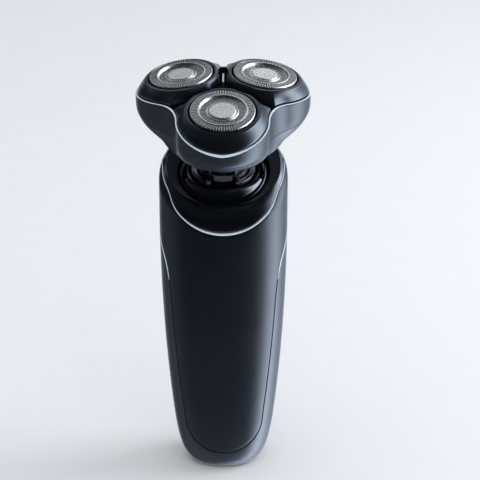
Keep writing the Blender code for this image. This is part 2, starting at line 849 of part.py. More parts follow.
def lobe_sections(index):
    """Sections round a lobe's ring-shaped body, in its own frame."""
    into = lobe_frame(index).inverted() @ HEAD
    side = LOBE_OFFSET * math.sin(math.radians(60)) - HALF_GROOVE
    loops = []
    for turn in lobe_angles():
        foot = lobe_foot(turn, index, into)
        reach = math.hypot(foot.x, foot.y)
        top = min(lobe_outline(turn, LIP_RADIUS, side - 1.2, 14.0), LIP_RADIUS)
        mid = top * 0.52 + reach * 0.48 + 0.2
        upper = (
            (mid, foot.z * 0.46),
            (top, 0.0),
            (LOBE_OPENING, 0.0),
            (LOBE_OPENING, -3.2),
            (min(top, mid) - 0.75, -3.2),
        )
        inner = 1 - 1.3 / reach
        loop = [(foot.x, foot.y, foot.z), (foot.x * 0.997, foot.y * 0.997, foot.z + 0.8)]
        loop += [(r * math.cos(turn), r * math.sin(turn), height) for r, height in upper]
        loop.append((foot.x * inner, foot.y * inner, foot.z))
        loops.append(loop)
    return loops


def guard_solid(index, looks):
    """A guard with radial slots through its outer track and a disc in its middle."""
    slots = 16
    place = lobe_frame(index)
    profile = (
        (GUARD_RADIUS, -2.8),
        (GUARD_RADIUS, 0.0),
        (GUARD_RADIUS - 0.4, 0.45),
        (8.95, 0.55),
        (8.35, -0.2),
        (DISC_RADIUS + 0.3, -0.2),
        (DISC_RADIUS + 0.3, -1.0),
        (8.6, -1.0),
        (9.1, -0.15),
        (GUARD_RADIUS - 0.7, -0.15),
        (GUARD_RADIUS - 0.7, -2.8),
    )
    guard = ring_solid(
        "guard_%d" % (index + 1), profile, looks["steel"], place, place @ Vector((0, 0, -0.5)), slots * 2
    )
    points = []
    faces = []
    for slot in range(slots):
        angle = math.tau * (slot + 0.25) / slots
        direction = Vector((math.cos(angle), math.sin(angle), 0))
        across = Vector((-direction.y, direction.x, 0)) * 0.28
        start = len(points)
        for height in (-0.8, 1.6):
            for radius, sign in ((9.35, -1), (11.2, -1), (11.2, 1), (9.35, 1)):
                point = direction * radius + across * sign
                points.append((point.x, point.y, height))
        faces.append((start + 3, start + 2, start + 1, start))
        faces.append((start + 4, start + 5, start + 6, start + 7))
        for step in range(4):
            after = (step + 1) % 4
            faces.append((start + step, start + after, start + 4 + after, start + 4 + step))
    cutter = add_object("slots", points, faces, None, place)
    combine(guard, cutter, "DIFFERENCE")
    turned(
        "guard_cap_%d" % (index + 1),
        ((DISC_RADIUS, -0.9), (DISC_RADIUS, 0.2), (DISC_RADIUS - 0.3, 0.42)),
        looks["steel"],
        place,
        steps=24,
    )
    return guard


def cutter_solid(index, looks):
    """A wheel whose raised blades run under the guard's slotted track."""
    place = lobe_frame(index)
    blades = 9
    loops = []
    for step in range(blades * 4):
        angle = math.tau * step / (blades * 4)
        height = -0.45 if step % 4 in (0, 1) else -2.2
        loops.append(
            [
                (r * math.cos(angle), r * math.sin(angle), h)
                for r, h in ((2.6, -3.2), (11.0, -3.2), (11.0, height), (9.3, height),
                             (8.9, -2.5), (2.6, -2.5))
            ]
        )
    wheel = hoop(
        "cutter_%d" % (index + 1), loops, looks["steel"], place, place @ Vector((0, 0, -2.0))
    )
    hub = turned("hub", ((3.2, -4.8), (3.2, -2.8), (2.4, -2.0)), None, place, steps=20)
    combine(wheel, hub, "UNION")
    return wheel


def lobes(looks):
    for index in range(3):
        place = lobe_frame(index)
        hinge = place @ Vector((15.6, 0, -7.4))
        hoop("lobe_%d" % (index + 1), lobe_sections(index), looks["gloss"], place, hinge)
        guard_solid(index, looks)
        cutter_solid(index, looks)
    turned("centre_pin", ((1.1, -10.1), (1.1, -3.2), (0.7, -2.8)), looks["accent"], HEAD, steps=16)
    box("groove_bar", (-0.45, 7.4, -10.2), (0.45, 14.4, -2.4), looks["steel"], HEAD)


def all_looks():
    return {
        "panel": material("satin_navy", (0.016, 0.02, 0.032), 0.0, 0.34),
        "shell": material("satin_black", (0.01, 0.012, 0.018), 0.0, 0.42),
        "gloss": material("gloss_black", (0.006, 0.007, 0.01), 0.0, 0.12),
        "matt": material("matt_black", (0.015, 0.016, 0.02), 0.0, 0.65),
        "accent": material("ice_blue", (0.42, 0.52, 0.6), 0.8, 0.25),
        "steel": material("steel", (0.55, 0.55, 0.56), 1.0, 0.3),
        "brass": material("brass", (0.6, 0.46, 0.22), 1.0, 0.3),
        "inner": material("grey_polymer", (0.2, 0.2, 0.21), 0.0, 0.5),
        "polymer": material("white_polymer", (0.6, 0.6, 0.58), 0.0, 0.45),
        "dark": material("dark_polymer", (0.03, 0.03, 0.033), 0.0, 0.5),
        "rubber": material("rubber", (0.02, 0.02, 0.02), 0.0, 0.8),
        "battery": material("battery_sleeve", (0.05, 0.12, 0.22), 0.0, 0.35),
        "board": material("board_green", (0.02, 0.12, 0.05), 0.0, 0.5),
    }


def build():
    clear_scene()
    looks = all_looks()
    rear, front = handle_pieces(looks)
    rear_openings(rear)
    button_parts(looks)
    neck_dish(looks)
    neck_bowl(looks)
    neck_shroud(looks)
    drive_train(looks)
    chassis(looks)
    power_parts(looks)
    socket_parts(looks)
    case_screws(looks)
    neck_moving(looks)
    head_shells(looks)
    spindle_parts(looks)
    head_frames(looks)
    lobes(looks)
    for item in bpy.context.scene.objects:
        if item.type == "MESH":
            smooth(item)


build()
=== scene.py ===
"""Looks for the rotary shaver: fine shells and lobes, slotted guards, materials, studio and camera.

Lengths are in millimetres in the shaver's own frame, and MM turns them into metres.
"""

import json
import math

import bmesh
import bpy
import numpy as np
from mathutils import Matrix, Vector
from mathutils.geometry import delaunay_2d_cdt


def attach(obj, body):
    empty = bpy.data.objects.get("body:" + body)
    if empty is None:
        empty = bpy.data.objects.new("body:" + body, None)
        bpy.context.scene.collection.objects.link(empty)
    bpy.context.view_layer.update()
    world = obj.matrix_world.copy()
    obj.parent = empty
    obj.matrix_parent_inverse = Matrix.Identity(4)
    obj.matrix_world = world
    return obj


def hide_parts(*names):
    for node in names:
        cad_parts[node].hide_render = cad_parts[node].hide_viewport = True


MM = 0.001
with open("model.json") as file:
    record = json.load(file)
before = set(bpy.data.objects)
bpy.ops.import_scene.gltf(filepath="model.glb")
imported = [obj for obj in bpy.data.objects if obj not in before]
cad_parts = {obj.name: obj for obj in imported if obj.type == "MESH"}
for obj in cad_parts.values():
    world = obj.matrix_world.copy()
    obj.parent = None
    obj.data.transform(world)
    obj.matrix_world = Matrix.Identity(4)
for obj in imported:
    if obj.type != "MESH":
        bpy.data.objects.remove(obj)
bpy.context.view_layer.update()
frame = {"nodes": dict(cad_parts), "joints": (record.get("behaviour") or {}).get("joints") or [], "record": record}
JOINTS = {joint["name"]: joint for joint in frame["joints"]}

# Handle: exponent of its rounded outline, wall, grooves, the row of HANDLE where v equals height,
# and the small steps over which its slopes are taken.
POWER = 2.3
WALL = 1.5
GROOVE = 0.13
EDGE_ROUND = 0.22
BAND_WALL = 1.2
BAND_ROUND = 0.12
SKIN_STEP = 1.2
UNROLL_RADIUS = 24.0
ANCHOR_ROW = 6
PHI_STEP = 2e-3
V_STEP = 0.05

# The rim that leans inwards, its sloping plane, and the arched trim under the collar.
ROLL = 2.75
FRONT_ROLL = 1.15
ROLL_RISE = 1.65
RIM_HEIGHT = 123.1
RIM_TILT = math.radians(32.0)
RIM_SLOPE = math.tan(RIM_TILT)
ARCH_HEIGHT = 124.4
ARCH_DROP = 22.5
ARCH_HALF = 23.45
ARCH_BLEND = 1.2
ARCH_REACH = 1.75
BEYOND = 200.0
TRIM_STEPS = 720
TRIM_HALF = 0.44
TRIM_THINNED = 0.31

# The ice-blue strips in the side seams.
STRIP_HALF = 0.52
STRIP_BOTTOM = 80.0
STRIP_TOP = 104.5

# The front cover's rounded lower end: half width, centre height and reach downwards.
PANEL_HALF = 15.4
PANEL_CENTRE = 23.0
PANEL_REACH = 15.1

# The back: button, screws and charging inlet.
BUTTON_HEIGHT = 72.0
BUTTON_HOLE = 7.35
SCREW_HEIGHTS = (24.0, 54.0)
SCREW_HOLE = 1.5
SOCKET_HEIGHT = 9.5
SOCKET_HOLE = (5.15, 3.95, 2.95)

# The neck: the bowl's radius, and the shroud's hole, top and thickness.
BOWL_RADIUS = 17.6
SHROUD_HOLE = 13.2
SHROUD_TOP = 3.4
SHROUD_WALL = 0.5

# The head's lobes and guards.
LOBE_ANGLES = (-90.0, 30.0, 150.0)
LOBE_OFFSET = 18.4
LOBE_RADIUS = 17.56
LOBE_INSET = 0.85
WAIST_FILLET = 15.25
HALF_GROOVE = 1.15
WAIST_REACH = LOBE_RADIUS + WAIST_FILLET
LOBE_SIDE = LOBE_OFFSET * math.sin(math.radians(60)) - HALF_GROOVE
LOBE_OPENING = 12.85
LIP_RADIUS = 14.2
GUARD_RADIUS = 12.15
GUARD_WALL = 0.3
SLOTS = 72
OUTER_TRACK = (9.3, 11.85)
INNER_TRACK = (6.0, 8.3)
DISC_RADIUS = 5.2
RAY_HEIGHT = 0.012

# The head's shells, as heights in the head's frame, and how far below it the neck turns.
EDGE_RADIUS = 23.48
SKIN_START = -10.09
SKIN_BEND = 2.89
SKIN_ROUND = 1.85
SKIN_INSET = 0.16
ACCENT_LOW = -9.12
ACCENT_RISE = 5.65
SHELL_END = -14.54
SHELL_DROP = 1.11
HEAD_END = -20.34
PIVOT_DEPTH = 41.0

# The studio's light and the camera, in metres.
SKY_GLOW = 0.84
BOX_GLOW = 4.4
KEY_POWER = 7.0
FLOOR_FLAT = 8.0
CAMERA_LENS = 146.0
CAMERA_DISTANCE = 0.760
CAMERA_ELEVATION = math.radians(20.0)
CAMERA_TARGET = (0.0064, 0.0, 0.0923)

# Height, half width, front and back of the handle.
HANDLE = np.array((
    (0.0, 10.8, -10.4, 10.6),
    (0.8, 13.1, -12.4, 12.6),
    (2.6, 15.0, -13.9, 14.1),
    (5.4, 16.6, -15.0, 15.2),
    (9.5, 17.9, -15.9, 16.1),
    (15.0, 19.05, -16.7, 17.0),
    (24.0, 20.3, -17.6, 18.0),
    (36.0, 21.6, -18.4, 18.9),
    (48.0, 22.65, -19.1, 19.7),
    (62.0, 23.6, -19.8, 20.4),
    (78.0, 24.35, -20.3, 20.9),
    (96.0, 24.8, -20.7, 21.3),
    (109.0, 24.85, -20.9, 21.4),
    (120.0, 24.8, -20.8, 21.2),
    (128.0, 24.4, -20.4, 20.7),
    (138.0, 23.3, -19.6, 19.8),
))

# The side seam between front cover and rear shell, as depth and height.
SEAM = np.array((
    (-12.75, 20.0),
    (-12.7, 30.0),
    (-12.6, 60.0),
    (-12.3, 74.0),
    (-11.6, 81.0),
    (-10.0, 87.5),
    (-6.5, 92.5),
    (-1.5, 96.6),
    (4.0, 99.8),
    (10.0, 103.2),
    (16.0, 107.6),
    (24.0, 115.5),
))


# ---------------------------------------------------------------- curves and frames


def smooth_curve(where, knots, values):
    """A smooth curve through the knots, evaluated at where."""
    where = np.asarray(where, float)
    slopes = np.gradient(values, knots)
    index = np.clip(np.searchsorted(knots, where) - 1, 0, len(knots) - 2)
    width = knots[index + 1] - knots[index]
    t = (where - knots[index]) / width
    low, high = values[index], values[index + 1]
    rise = 3 * t**2 - 2 * t**3
    start = (t**3 - 2 * t**2 + t) * width * slopes[index]
    finish = (t**3 - t**2) * width * slopes[index + 1]
    return low * (1 - rise) + high * rise + start + finish


# Distance along the handle's side, equal to the height at the anchor row.
STEPS = np.hypot(np.diff(HANDLE[:, 0]), np.diff(HANDLE[:, 1]))
LENGTHS = np.concatenate([[0.0], np.cumsum(STEPS)])
LENGTHS += HANDLE[ANCHOR_ROW, 0] - LENGTHS[ANCHOR_ROW]
FOOT = float(LENGTHS[0])


def section(v):
    return [smooth_curve(v, LENGTHS, HANDLE[:, column]) for column in range(4)]


DENSE_V = np.linspace(FOOT, LENGTHS[-1], 1200)
DENSE_Z = section(DENSE_V)[0]


def v_at(height):
    return np.interp(height, DENSE_Z, DENSE_V)


def bare_skin(phi, v):
    """Points on the handle's outside; phi is 0 at the front and pi/2 on the right."""
    height, half, front, back = section(v)
    theta = phi - math.pi / 2
    cosine, sine = np.cos(theta), np.sin(theta)
    x = half * np.sign(cosine) * np.abs(cosine) ** (2 / POWER)
    y = (front + back) / 2 + (back - front) / 2 * np.sign(sine) * np.abs(sine) ** (2 / POWER)
    return np.stack([x, y, height + 0 * x], -1)


def unit(vectors):
    return vectors / np.maximum(np.linalg.norm(vectors, axis=-1, keepdims=True), 1e-9)


def bare_normal(phi, v):
    """The outside's normal and its upward tangent, before the rim leans in."""
    across = bare_skin(phi + PHI_STEP, v) - bare_skin(phi - PHI_STEP, v)
    along = bare_skin(phi, v + V_STEP) - bare_skin(phi, v - V_STEP)
    return unit(np.cross(across, along)), unit(along)


def roll_at(phi):
    """How far the rim is rolled inwards, widest at the front."""
    front = np.clip(np.cos(phi) / 0.7, 0, 1)
    return ROLL + FRONT_ROLL * front**2 * (3 - 2 * front)


def rim_v(phi):
    """Where the outside ends, so that the rolled rim's inner edge lies in the sloping plane."""
    v = np.full_like(np.asarray(phi, float), RIM_HEIGHT)
    for _ in range(8):
        inward = bare_normal(phi, v)[0][..., 1] * roll_at(phi)
        v = v_at(RIM_HEIGHT + RIM_SLOPE * (bare_skin(phi, v)[..., 1] - inward))
    return v


RIM_PHI = np.linspace(-math.pi, math.pi, 721)
RIM_V = rim_v(RIM_PHI)


def rim_at(phi):
    return np.interp(np.mod(np.asarray(phi) + math.pi, math.tau) - math.pi, RIM_PHI, RIM_V)


def rim_edge(phi):
    """The value of v at the rolled rim's inner edge."""
    return rim_at(phi) + roll_at(phi) * (math.pi / 2 - ROLL_RISE)


def skin(phi, v):
    """The handle's outside with its rim leaning inwards; v past the start follows the lean."""
    phi, v = np.broadcast_arrays(np.asarray(phi, float), np.asarray(v, float))
    roll = roll_at(phi)
    start = rim_at(phi) - roll * ROLL_RISE
    base_v = np.minimum(v, start)
    base = bare_skin(phi, base_v)
    normal, along = bare_normal(phi, base_v)
    share = np.clip((v - start) / (roll * math.pi / 2), 0, 1)[..., None]
    roll = roll[..., None]
    return base + along * roll * ROLL_RISE * share - normal * roll * share**2


def skin_normal(phi, v):
    across = skin(phi + PHI_STEP, v) - skin(phi - PHI_STEP, v)
    high = np.minimum(v + V_STEP, rim_edge(phi) - 1e-3)
    along = skin(phi, high) - skin(phi, high - 2 * V_STEP)
    return unit(np.cross(across, along))


def share_phi(share):
    """The turn at which the outline reaches a share of its half size."""
    return np.arcsin(np.sign(share) * np.clip(np.abs(share), 0, 1) ** (POWER / 2))


def front_phi(x, v):
    return share_phi(x / section(v)[1])


def on_back(x, height):
    """Points on the back as (phi, v)."""
    v = v_at(height)
    return np.stack([math.pi - front_phi(x, v), v], -1)


def side_phi(y, v):
    _, _, front, back = section(v)
    return share_phi((y - (front + back) / 2) / ((back - front) / 2)) + math.pi / 2


def resample(points, spacing, closed=True):
    """Points evenly spaced along a polyline."""
    points = np.asarray(points, float)
    if closed:
        points = np.vstack([points, points[:1]])
    lengths = np.concatenate([[0], np.cumsum(np.linalg.norm(np.diff(points, axis=0), axis=1))])
    count = max(int(lengths[-1] / spacing), 8)
    at = np.linspace(0, lengths[-1], count + 1)
    if closed:
        at = at[:-1]
    return np.stack([np.interp(at, lengths, points[:, k]) for k in range(points.shape[1])], -1)


def seam_loop():
    """The closed seam line as (phi, v), anticlockwise seen from outside."""
    turn = np.radians(np.linspace(-90, -14, 40))
    v = v_at(PANEL_CENTRE + PANEL_REACH * np.sin(turn))
    lower = np.stack([front_phi(PANEL_HALF * np.cos(turn), v), v], -1)
    count = np.linspace(0, len(SEAM) - 1, 160)
    knots = np.arange(len(SEAM), dtype=float)
    depth = smooth_curve(count, knots, SEAM[:, 0])
    height = smooth_curve(count, knots, SEAM[:, 1])
    keep = (height > 27.0) & (depth < section(v_at(height))[3] - 0.02)
    v = v_at(height[keep])
    upper = np.stack([side_phi(depth[keep], v), v], -1)
    last = np.array([[math.pi, upper[-1, 1] + 0.5]])
    right = np.vstack([lower, upper, last])
    left = right[-2:0:-1] * np.array([-1, 1]) + np.array([math.tau, 0])
    loop = np.vstack([right, left])
    loop[:, 0] *= UNROLL_RADIUS
    wrapped = np.vstack([loop, [[math.tau * UNROLL_RADIUS, loop[0, 1]]]])
    even = resample(wrapped, 0.55, closed=False)[:-1]
    shift = np.array([math.tau * UNROLL_RADIUS, 0])
    for _ in range(6):
        before = np.vstack([even[-1:] - shift, even[:-1]])
        after = np.vstack([even[1:], even[:1] + shift])
        even = even * 0.5 + (before + after) * 0.25
    even[:, 0] /= UNROLL_RADIUS
    return even


def loop_sides(loop):
    """3-D points of a loop, the outside's normals there, and the way out of the region."""
    points = skin(*loop.T)
    normals = skin_normal(*loop.T)
    tangent = unit(np.roll(points, -1, 0) - np.roll(points, 1, 0))
    return points, normals, unit(np.cross(tangent, normals))


def moved_on_skin(loop, distance):
    """A loop moved sideways along the surface, away from its region when positive."""
    outward = loop_sides(loop)[2]
    phi, v = loop[:, 0], loop[:, 1]
    by_phi = (skin(phi + 1e-3, v) - skin(phi - 1e-3, v)) / 2e-3
    by_v = (skin(phi, v + 0.02) - skin(phi, v - 0.02)) / 0.04
    wanted = outward * np.asarray(distance).reshape(-1, 1)
    a = (by_phi**2).sum(-1)
    b = (by_phi * by_v).sum(-1)
    c = (by_v**2).sum(-1)
    p = (by_phi * wanted).sum(-1)
    q = (by_v * wanted).sum(-1)
    determinant = a * c - b * b
    return np.stack([phi + (p * c - q * b) / determinant, v + (q * a - p * b) / determinant], -1)


def flatten(loop):
    """Maps (phi, v) to a plane without distorting small shapes."""
    radius = np.exp(-(loop[:, 1] - 60) / UNROLL_RADIUS)
    return np.stack([radius * np.cos(loop[:, 0]), radius * np.sin(loop[:, 0])], -1)


def inside(points, loops):
    """Whether each point lies in the region that the loops bound."""
    found = np.zeros(len(points), bool)
    for loop in loops:
        following = np.roll(loop, -1, 0)
        for a, b in zip(loop, following):
            crosses = (a[1] > points[:, 1]) != (b[1] > points[:, 1])
            if not crosses.any():
                continue
            at = (b[0] - a[0]) * (points[:, 1] - a[1]) / (b[1] - a[1] + 1e-300) + a[0]
            found ^= crosses & (points[:, 0] < at)
    return found


def lattice(loops):
    """Points spread evenly over the region, a little away from its edges."""
    flat_loops = [flatten(loop) for loop in loops]
    every = np.vstack(loops)
    rows = np.arange(every[:, 1].min(), every[:, 1].max(), SKIN_STEP * 0.87)
    columns = int(math.tau * UNROLL_RADIUS / SKIN_STEP)
    found = []
    for index, v in enumerate(rows):
        phi = (np.arange(columns) + 0.5 * (index % 2)) / columns * math.tau
        found.append(np.stack([phi, np.full(columns, v)], -1))
    found = np.vstack(found)
    found = found[inside(flatten(found), flat_loops)]
    edge = np.stack([np.mod(every[:, 0], math.tau) * UNROLL_RADIUS, every[:, 1]], -1)
    half_turn = math.pi * UNROLL_RADIUS
    keep = np.ones(len(found), bool)
    for start in range(0, len(found), 2000):
        chunk = found[start : start + 2000]
        across = chunk[:, None, 0] * UNROLL_RADIUS - edge[None, :, 0]
        across = (across + half_turn) % (2 * half_turn) - half_turn
        near = across**2 + (chunk[:, None, 1] - edge[None, :, 1]) ** 2
        keep[start : start + 2000] = near.min(1) > (SKIN_STEP * 0.6) ** 2
    return found[keep]


# ---------------------------------------------------------------- mesh makers


def placed(local, points):
    """Points carried out of a local frame into the frame around it."""
    return np.asarray(points, float) @ local[:3, :3].T + local[:3, 3]


def added(name, data):
    """A new object in the scene."""
    made = bpy.data.objects.new(name, data)
    bpy.context.scene.collection.objects.link(made)
    return made


def make(name, points, faces, slot, body, *replaced, look=None, crease=40.0, local=np.eye(4)):
    """A smooth-shaded object from points in millimetres, riding on a CAD body."""
    mesh = bpy.data.meshes.new(name)
    mesh.from_pydata((placed(local, points) * MM).tolist(), [], faces)
    mesh.validate()
    cleaner = bmesh.new()
    cleaner.from_mesh(mesh)
    bmesh.ops.remove_doubles(cleaner, verts=cleaner.verts, dist=2e-6)
    bmesh.ops.recalc_face_normals(cleaner, faces=cleaner.faces)
    cleaner.to_mesh(mesh)
    cleaner.free()
    for polygon in mesh.polygons:
        polygon.use_smooth = True
    mesh.set_sharp_from_angle(angle=math.radians(crease))
    mesh.materials.append(LOOKS[look or slot])
    made = added(name, mesh)
    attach(made, body)
    if replaced:
        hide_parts(*replaced)


def grid_faces(rows, columns, closed_rows=False, closed_columns=True):
    """Quads over a grid of points stored row by row."""
    faces = []
    for row in range(rows if closed_rows else rows - 1):
        low, high = row * columns, (row + 1) % rows * columns
        for column in range(columns if closed_columns else columns - 1):
            after = (column + 1) % columns
            faces.append((low + column, low + after, high + after, high + column))
    return faces


def edge_rows(loop):
    """Rows of points that round a region's edge over and carry it down to its inner side."""
    points, normals, outward = loop_sides(loop)
    rows = []
    for turn in np.radians((30, 60, 90)):
        sideways = outward * (1 - np.sin(turn)) + normals * (1 - np.cos(turn))
        rows.append(points - sideways * EDGE_ROUND)
    return rows + [points - normals * WALL]


def skin_piece(name, loops, *rest):
    """A shell with the handle's outside, bounded by loops, with rounded edges and a closed back."""
    inset = [moved_on_skin(loop, np.full(len(loop), -EDGE_ROUND)) for loop in loops]
    domain = np.vstack(inset + [lattice(inset)])
    flat = flatten(domain)
    rims = []
    for loop in inset:
        start = rims[-1][-1] + 1 if rims else 0
        rims.append(list(range(start, start + len(loop))))
    edges = [edge for rim in rims for edge in zip(rim, rim[1:] + rim[:1])]
    result = delaunay_2d_cdt([Vector(point) for point in flat], edges, [], 0, 1e-9)
    triangles = np.array([face for face in result[2] if len(face) == 3])
    triangles = np.array([ids[0] if ids else -1 for ids in result[3]])[triangles]
    triangles = triangles[(triangles >= 0).all(1)]
    triangles = triangles[inside(flat[triangles].mean(1), [flatten(loop) for loop in inset])]
    outer = skin(*domain.T)
    points = [outer, outer - skin_normal(*domain.T) * WALL]
    faces = triangles.tolist() + (triangles[:, ::-1] + len(outer)).tolist()
    for loop, rim in zip(loops, rims):
        lines = [rim]
        for row in edge_rows(loop):
            start = sum(len(group) for group in points)
            points.append(row)
            lines.append(list(range(start, start + len(row))))
        lines.append([k + len(outer) for k in rim])
        for low, high in zip(lines[:-1], lines[1:]):
            faces += zip(low, high, high[1:] + high[:1], low[1:] + low[:1])
    make(name, np.vstack(points), faces, *rest)


def skin_rows(low, high, profile):
    """Rows of points between two lines on the skin, one for each share of the way and lift."""
    rows = []
    for share, lift in profile:
        line = low * (1 - share) + high * share
        rows.append(skin(*line.T) + skin_normal(*line.T) * lift)
    return rows


def ring_band(name, low, high, rows, proud, *rest):
    """A closed band round the handle between two (phi, v) lines of equal length."""
    profile = [(0.0, -BAND_WALL), (0.0, -BAND_ROUND)]
    profile += [(share, proud * math.sin(math.pi * share)) for share in np.linspace(0.06, 0.94, rows)]
    profile += [(1.0, -BAND_ROUND), (1.0, -BAND_WALL)]
    hoop(name, skin_rows(low, high, profile), *rest)


def hoop(name, loops, *rest, **options):
    """A ring-shaped piece, from a grid of points that closes both ways."""
    loops = np.asarray(loops, float)
    faces = grid_faces(*loops.shape[:2], closed_rows=True)
    make(name, loops.reshape(-1, 3), faces, *rest, **options)


def drum(name, rings, *rest, **options):
    """A piece of stacked rings of points, closed at both ends."""
    rings = np.asarray(rings, float)
    rows, columns = rings.shape[:2]
    faces = grid_faces(rows, columns)
    faces.append(tuple(range(columns)))
    faces.append(tuple(range((rows - 1) * columns, rows * columns)))
    make(name, rings.reshape(-1, 3), faces, *rest, **options)


def pierced(name, upper, lower, is_open, *rest, **options):
    """A closed shell between two grids of points, with holes where is_open(row, column) says."""
    rows, columns = upper.shape[:2]
    under = rows * columns
    faces = []

    def opened(row, column):
        return not 0 <= row < rows - 1 or is_open(row, column % columns)

    for row in range(rows - 1):
        for column in range(columns):
            if opened(row, column):
                continue
            after = (column + 1) % columns
            a, b = row * columns + column, row * columns + after
            c, d = a + columns, b + columns
            faces += [(a, b, d, c), (a + under, c + under, d + under, b + under)]
            for along, across, p, q in ((0, 1, b, d), (0, -1, a, c), (-1, 0, a, b), (1, 0, c, d)):
                if opened(row + along, column + across):
                    faces.append((p, p + under, q + under, q))
    points = np.vstack([upper.reshape(-1, 3), lower.reshape(-1, 3)])
    make(name, points, faces, *rest, **options)


def block(name, low, high, radius, *rest, **options):
    """A small moulded block with rounded edges."""
    builder = bmesh.new()
    bmesh.ops.create_cube(builder, size=1.0)
    for vertex in builder.verts:
        for axis in range(3):
            vertex.co[axis] = low[axis] if vertex.co[axis] < 0 else high[axis]
    bmesh.ops.bevel(builder, geom=builder.edges[:], offset=radius, segments=3, profile=0.5,
                    affect="EDGES")
    builder.verts.index_update()
    points = [tuple(vertex.co) for vertex in builder.verts]
    faces = [tuple(vertex.index for vertex in face.verts) for face in builder.faces]
    builder.free()
    make(name, points, faces, *rest, crease=60.0, **options)


def spun(profile, steps):
    """A section of radii and heights turned about z, as one ring of points for each."""
    turns = np.arange(steps) * math.tau / steps
    profile = np.asarray(profile, float)
    rings = np.empty((len(profile), steps, 3))
    rings[:, :, 0] = np.maximum(profile[:, :1], 1e-3) * np.cos(turns)
    rings[:, :, 1] = np.maximum(profile[:, :1], 1e-3) * np.sin(turns)
    rings[:, :, 2] = profile[:, 1:]
    return rings


def stood(profile, turn):
    """A section of radii and heights, stood up at an angle round z."""
    return [(r * math.cos(turn), r * math.sin(turn), h) for r, h in profile]


def bend(start, middle, finish, t):
    """A point on the curve that leaves start and reaches finish, drawn towards middle."""
    return start * (1 - t) ** 2 + middle * 2 * t * (1 - t) + finish * t**2


def rounded(profile, radius, steps, closed=True):
    """A profile with each corner replaced by a short arc."""
    profile = [np.asarray(point, float) for point in profile]
    count = len(profile)
    found = []
    for index, corner in enumerate(profile):
        if not closed and index in (0, count - 1):
            found.append(corner)
            continue
        before = profile[index - 1] - corner
        after = profile[(index + 1) % count] - corner
        room = min(np.linalg.norm(before), np.linalg.norm(after)) * 0.45
        reach = min(radius, room)
        start = corner + before / np.linalg.norm(before) * reach
        finish = corner + after / np.linalg.norm(after) * reach
        for t in np.linspace(0, 1, steps):
            found.append(bend(start, corner, finish, t))
    return found


def rounded_rectangle(half_x, half_z, radius, steps):
    """Points anticlockwise round a rectangle with rounded corners."""
    points = []
    for quarter, (sign_x, sign_z) in enumerate(((1, 1), (-1, 1), (-1, -1), (1, -1))):
        for turn in np.radians(90 * (quarter + np.arange(steps + 1) / steps)):
            x = sign_x * (half_x - radius) + radius * math.cos(turn)
            points.append((x, sign_z * (half_z - radius) + radius * math.sin(turn)))
    return np.array(points)


def frame_of(origin, x_axis, y_axis, z_axis):
    made = np.eye(4)
    for column, values in enumerate((x_axis, y_axis, z_axis, origin)):
        made[:3, column] = values
    return made


def shifted(local, offset):
    made = local.copy()
    made[:3, 3] = placed(local, offset)
    return made


HEAD_UP = np.array(JOINTS["head_release"]["axis"], float)
HEAD_BACK = np.array(JOINTS["neck_roll"]["axis"], float)
PIVOT = np.array(JOINTS["neck_roll"]["pos_m"], float) / MM
HEAD = frame_of(PIVOT + HEAD_UP * PIVOT_DEPTH, (1, 0, 0), HEAD_BACK, HEAD_UP)
NECK = frame_of(PIVOT, (1, 0, 0), HEAD_BACK, HEAD_UP)
RIM_UP = np.array((0, -math.sin(RIM_TILT), math.cos(RIM_TILT)))
RIM_BACK = np.array((0, math.cos(RIM_TILT), math.sin(RIM_TILT)))
RIM = frame_of((0, 0, RIM_HEIGHT), (1, 0, 0), RIM_BACK, RIM_UP)
BOWL = shifted(RIM, (0, -2.0, 0))


def lobe_frame(index):
    """The frame of one lobe's opening: x outward, z along its cutter's axis."""
    joint = JOINTS["cutter_%d_spin" % (index + 1)]
    axis = np.array(joint["axis"], float)
    heading = math.radians(LOBE_ANGLES[index])
    across = HEAD[:3, :3] @ np.array((-math.sin(heading), math.cos(heading), 0))
    origin = np.array(joint["pos_m"], float) / MM + axis * 2.0
    return frame_of(origin, np.cross(across, axis), across, axis)


# ---------------------------------------------------------------- materials


def connect(tree, socket, value):
    """Links a socket to another one, or gives it a value."""
    if isinstance(value, bpy.types.NodeSocket):
        tree.links.new(value, socket)
    else:
        socket.default_value = value


def add_node(tree, kind, output, inputs, **settings):
    """One output of a new node whose inputs are given by name or in order."""
    node = tree.nodes.new(kind)
    for key, value in settings.items():
        setattr(node, key, value)
    for key, value in inputs.items() if isinstance(inputs, dict) else enumerate(inputs):
        connect(tree, node.inputs[key], value)
    return node.outputs[output]


class Nodes:
    """Short calls for building one material's node tree."""

    def __init__(self, name):
        self.material = bpy.data.materials.new(name)
        self.material.use_nodes = True
        self.tree = self.material.node_tree
        self.place = add_node(self.tree, "ShaderNodeTexCoord", "Object", ())

    def noise(self, scale, detail, roughness=0.55):
        inputs = {"Vector": self.place, "Scale": scale, "Detail": detail, "Roughness": roughness}
        return add_node(self.tree, "ShaderNodeTexNoise", "Fac", inputs)

    def spread(self, value, low, high, start=0.3, finish=0.7):
        inputs = (value, start, finish, low, high)
        return add_node(self.tree, "ShaderNodeMapRange", "Result", inputs)

    def mix(self, share, first, second):
        inputs = {"Factor": share, "A": (*first, 1), "B": (*second, 1)}
        return add_node(self.tree, "ShaderNodeMix", "Result", inputs, data_type="RGBA")

    def bump(self, height, strength, distance):
        inputs = {"Height": height, "Strength": strength, "Distance": distance}
        return add_node(self.tree, "ShaderNodeBump", "Normal", inputs)

    def set(self, **values):
        """Links or sets the shader's inputs."""
        for key, value in values.items():
            connect(self.tree, self.tree.nodes["Principled BSDF"].inputs[key.replace("_", " ")], value)


